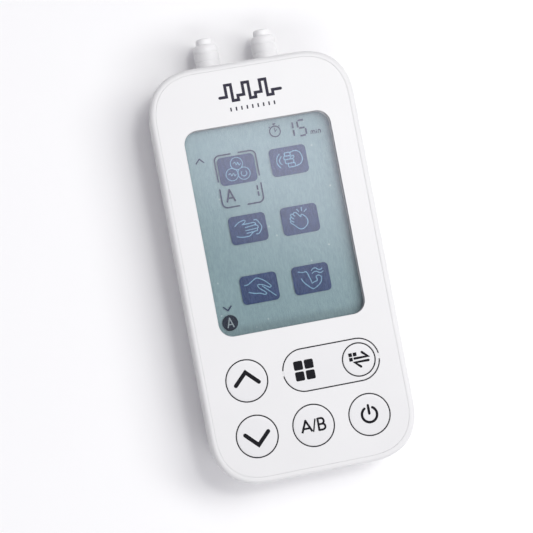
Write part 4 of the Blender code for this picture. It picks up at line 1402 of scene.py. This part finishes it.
def board_finish():
    """A circuit board: green mask with copper tracks under it and pale pads."""
    made = Finish("board_green", 0.35)
    weave = made.noise(0.5, 3.0)
    values = {"Scale": 170.0, "Mortar_Size": 0.03}
    tracks = made.node("ShaderNodeTexBrick", Vector=made.place, **values)
    for name, tone in (("Color1", (1, 1, 1, 1)), ("Color2", (0.7, 0.7, 0.7, 1)), ("Mortar", (0, 0, 0, 1))):
        tracks.inputs[name].default_value = tone
    mask = made.blend(weave, (0.012, 0.1, 0.04), (0.018, 0.13, 0.05))
    lit = made.mix(tracks.outputs["Color"], (0.03, 0.2, 0.07), mask)
    made.colour(made.blend(made.cells(3.1), lit, (0.5, 0.5, 0.46), 0.16, 0.14))
    made.rough(made.between(weave, 0.28, 0.45))
    made.bump(tracks.outputs["Fac"], 0.03, 0.5)
    return made


def winding_finish():
    """Yellow tape over wound copper wire."""
    made = Finish("winding_tape", 0.35)
    options = {"bands_direction": "Y"}
    wrap = made.node("ShaderNodeTexWave", options, Vector=made.place, Scale=160.0, Distortion=1.5)
    made.colour(made.mix(wrap.outputs["Fac"], (0.5, 0.3, 0.05), (0.66, 0.47, 0.11)))
    made.rough(made.between(made.noise(0.8, 3.0), 0.25, 0.45))
    made.bump(wrap.outputs["Fac"], 0.08, 0.6)
    return made


def dress_cad():
    """Gives each CAD node that still shows its finish."""
    dark = plastic("black_moulded", (0.022, 0.022, 0.024), 0.45, tint=0.2)
    ferrite = plastic("ferrite", (0.035, 0.035, 0.04), 0.62, grain=0.5, grain_depth=0.03, tint=0.2)
    rubber = plastic("connector_rubber", (0.55, 0.5, 0.46), 0.65, grain=0.3, grain_depth=0.02, tint=0.1)
    finishes = {
        "main_board": board_finish(),
        "controller_chip": dark,
        "buzzer": dark,
        "reservoir_capacitor": metal("can_aluminium", (0.62, 0.62, 0.63), 0.3),
        "boost_inductor": ferrite,
        "transformer_core": ferrite,
        "transformer_winding": winding_finish(),
        "output_socket": dark,
        "switch_stem": plastic("stem_ivory", (0.62, 0.6, 0.52), 0.4, tint=0.05),
        "switch": dark,
        "contact": metal("contact_nickel", (0.7, 0.69, 0.66), 0.26),
        "lcd_reflector": metal("reflector_foil", (0.7, 0.7, 0.7), 0.35, grain=0.6),
        "lcd_connector": rubber,
        "lcd_frame": plastic("frame_white", (0.68, 0.68, 0.68), 0.5),
    }
    for name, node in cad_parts.items():
        if node.hide_render:
            continue
        family = max((key for key in finishes if name.startswith(key)), key=len)
        for slot in node.material_slots:
            slot.link = "OBJECT"
            slot.material = finishes[family].material


# Floor, light and camera
FLOOR_REACH = 3000.0
LIGHT_HEIGHT = 1420.0

# The panel's near edge, which the window shows as the edge of its reflection, and the ways from it
PANEL_EDGE = Vector((222.0, 112.9))
OUTWARD = Vector((0.555, 0.832))
SIDEWAYS = Vector((0.832, -0.555))
PANEL_SIZE = (250.0, 165.0)
KEY_SIZE = (1600.0, 620.0)
CAMERA_PLACE = (-93.31, -27.16, 583.6)
CAMERA_TURN = (4.38959, -8.25072, -10.8659)
CAMERA_LENS = 135.14
SENSOR_WIDTH = 36.0


def make_stage():
    """A plain pale floor."""
    made = Finish("floor_pale", 0.75)
    cloud = made.noise(60.0, 3.0)
    made.colour(made.blend(cloud, (0.955, 0.955, 0.955), (0.965, 0.965, 0.965)))
    made.rough(made.between(cloud, 0.7, 0.8))
    made.bump(made.noise(0.6, 2.0), 0.01, 0.2)
    mesh = bmesh.new()
    corners = ((-1, -1), (1, -1), (1, 1), (-1, 1))
    mesh.faces.new([mesh.verts.new((x * FLOOR_REACH, y * FLOOR_REACH, 0.0)) for x, y in corners])
    data = mesh_data("floor", mesh)
    data.materials.append(made.material)
    placed("floor", data)


def make_surround():
    """A pale surround that is dimmer towards the left and the horizon."""
    world = bpy.data.worlds.new("surround")
    world.use_nodes = True
    nodes, links = world.node_tree.nodes, world.node_tree.links
    sky = nodes["Background"]
    sky.inputs["Color"].default_value = (0.93, 0.91, 1.0, 1.0)
    way = nodes.new("ShaderNodeTexCoord")
    toward = nodes.new("ShaderNodeVectorMath")
    toward.operation = "DOT_PRODUCT"
    toward.inputs[1].default_value = (0.6, 0.0, 0.8)
    strength = nodes.new("ShaderNodeMapRange")
    for name, value in (("From Min", -0.5), ("From Max", 0.9), ("To Min", 0.15), ("To Max", 0.48)):
        strength.inputs[name].default_value = value
    links.new(way.outputs["Generated"], toward.inputs[0])
    links.new(toward.outputs["Value"], strength.inputs["Value"])
    links.new(strength.outputs["Result"], sky.inputs["Strength"])
    bpy.context.scene.world = world


def add_softbox(name, centre, turn, size, energy, colour=(1.0, 1.0, 1.0)):
    """Adds a rectangular light that faces straight down, turned about the vertical."""
    data = bpy.data.lights.new(name, "AREA")
    data.shape = "RECTANGLE"
    data.size, data.size_y = (side * MM for side in size)
    data.energy = energy
    data.color = colour
    box = placed(name, data)
    box.location = Vector((centre.x, centre.y, LIGHT_HEIGHT)) * MM
    box.rotation_euler = (0.0, 0.0, turn)


def make_lights():
    """A softbox up to the right, the small panel that the window reflects, and a fill from the near side."""
    turn = math.atan2(SIDEWAYS.y, SIDEWAYS.x)
    centre = PANEL_EDGE + OUTWARD * PANEL_SIZE[1] / 2 - SIDEWAYS * 16.0
    add_softbox("panel_softbox", centre, turn, PANEL_SIZE, 3.05)
    centre = PANEL_EDGE + OUTWARD * (PANEL_SIZE[1] + KEY_SIZE[1] / 2) + SIDEWAYS * 550.0
    add_softbox("key_softbox", centre, turn, KEY_SIZE, 14.7, (1.0, 1.0, 0.975))
    add_softbox("fill_softbox", Vector((150.0, -1100.0)), 0.0, (1400.0, 700.0), 11.0)


def make_camera():
    """A long lens above and to the left of the unit, turned slightly."""
    data = bpy.data.cameras.new("camera")
    data.sensor_width = SENSOR_WIDTH
    data.lens = CAMERA_LENS
    camera = placed("camera", data)
    camera.location = Vector(CAMERA_PLACE) * MM
    camera.rotation_mode = "XYZ"
    camera.rotation_euler = [math.radians(angle) for angle in CAMERA_TURN]
    bpy.context.scene.camera = camera
    bpy.context.scene.view_settings.view_transform = "Standard"


make_camera()
make_front()
make_panel()
make_seals()
make_rear()
make_door()
make_display()
make_window()
for key_name in ROUND_KEYS + ("swap",):
    make_key(key_name)
make_mode_key()
make_legends()
make_emblem()
make_plugs()
make_screws()
make_cells()
dress_cad()
make_stage()
make_surround()
make_lights()
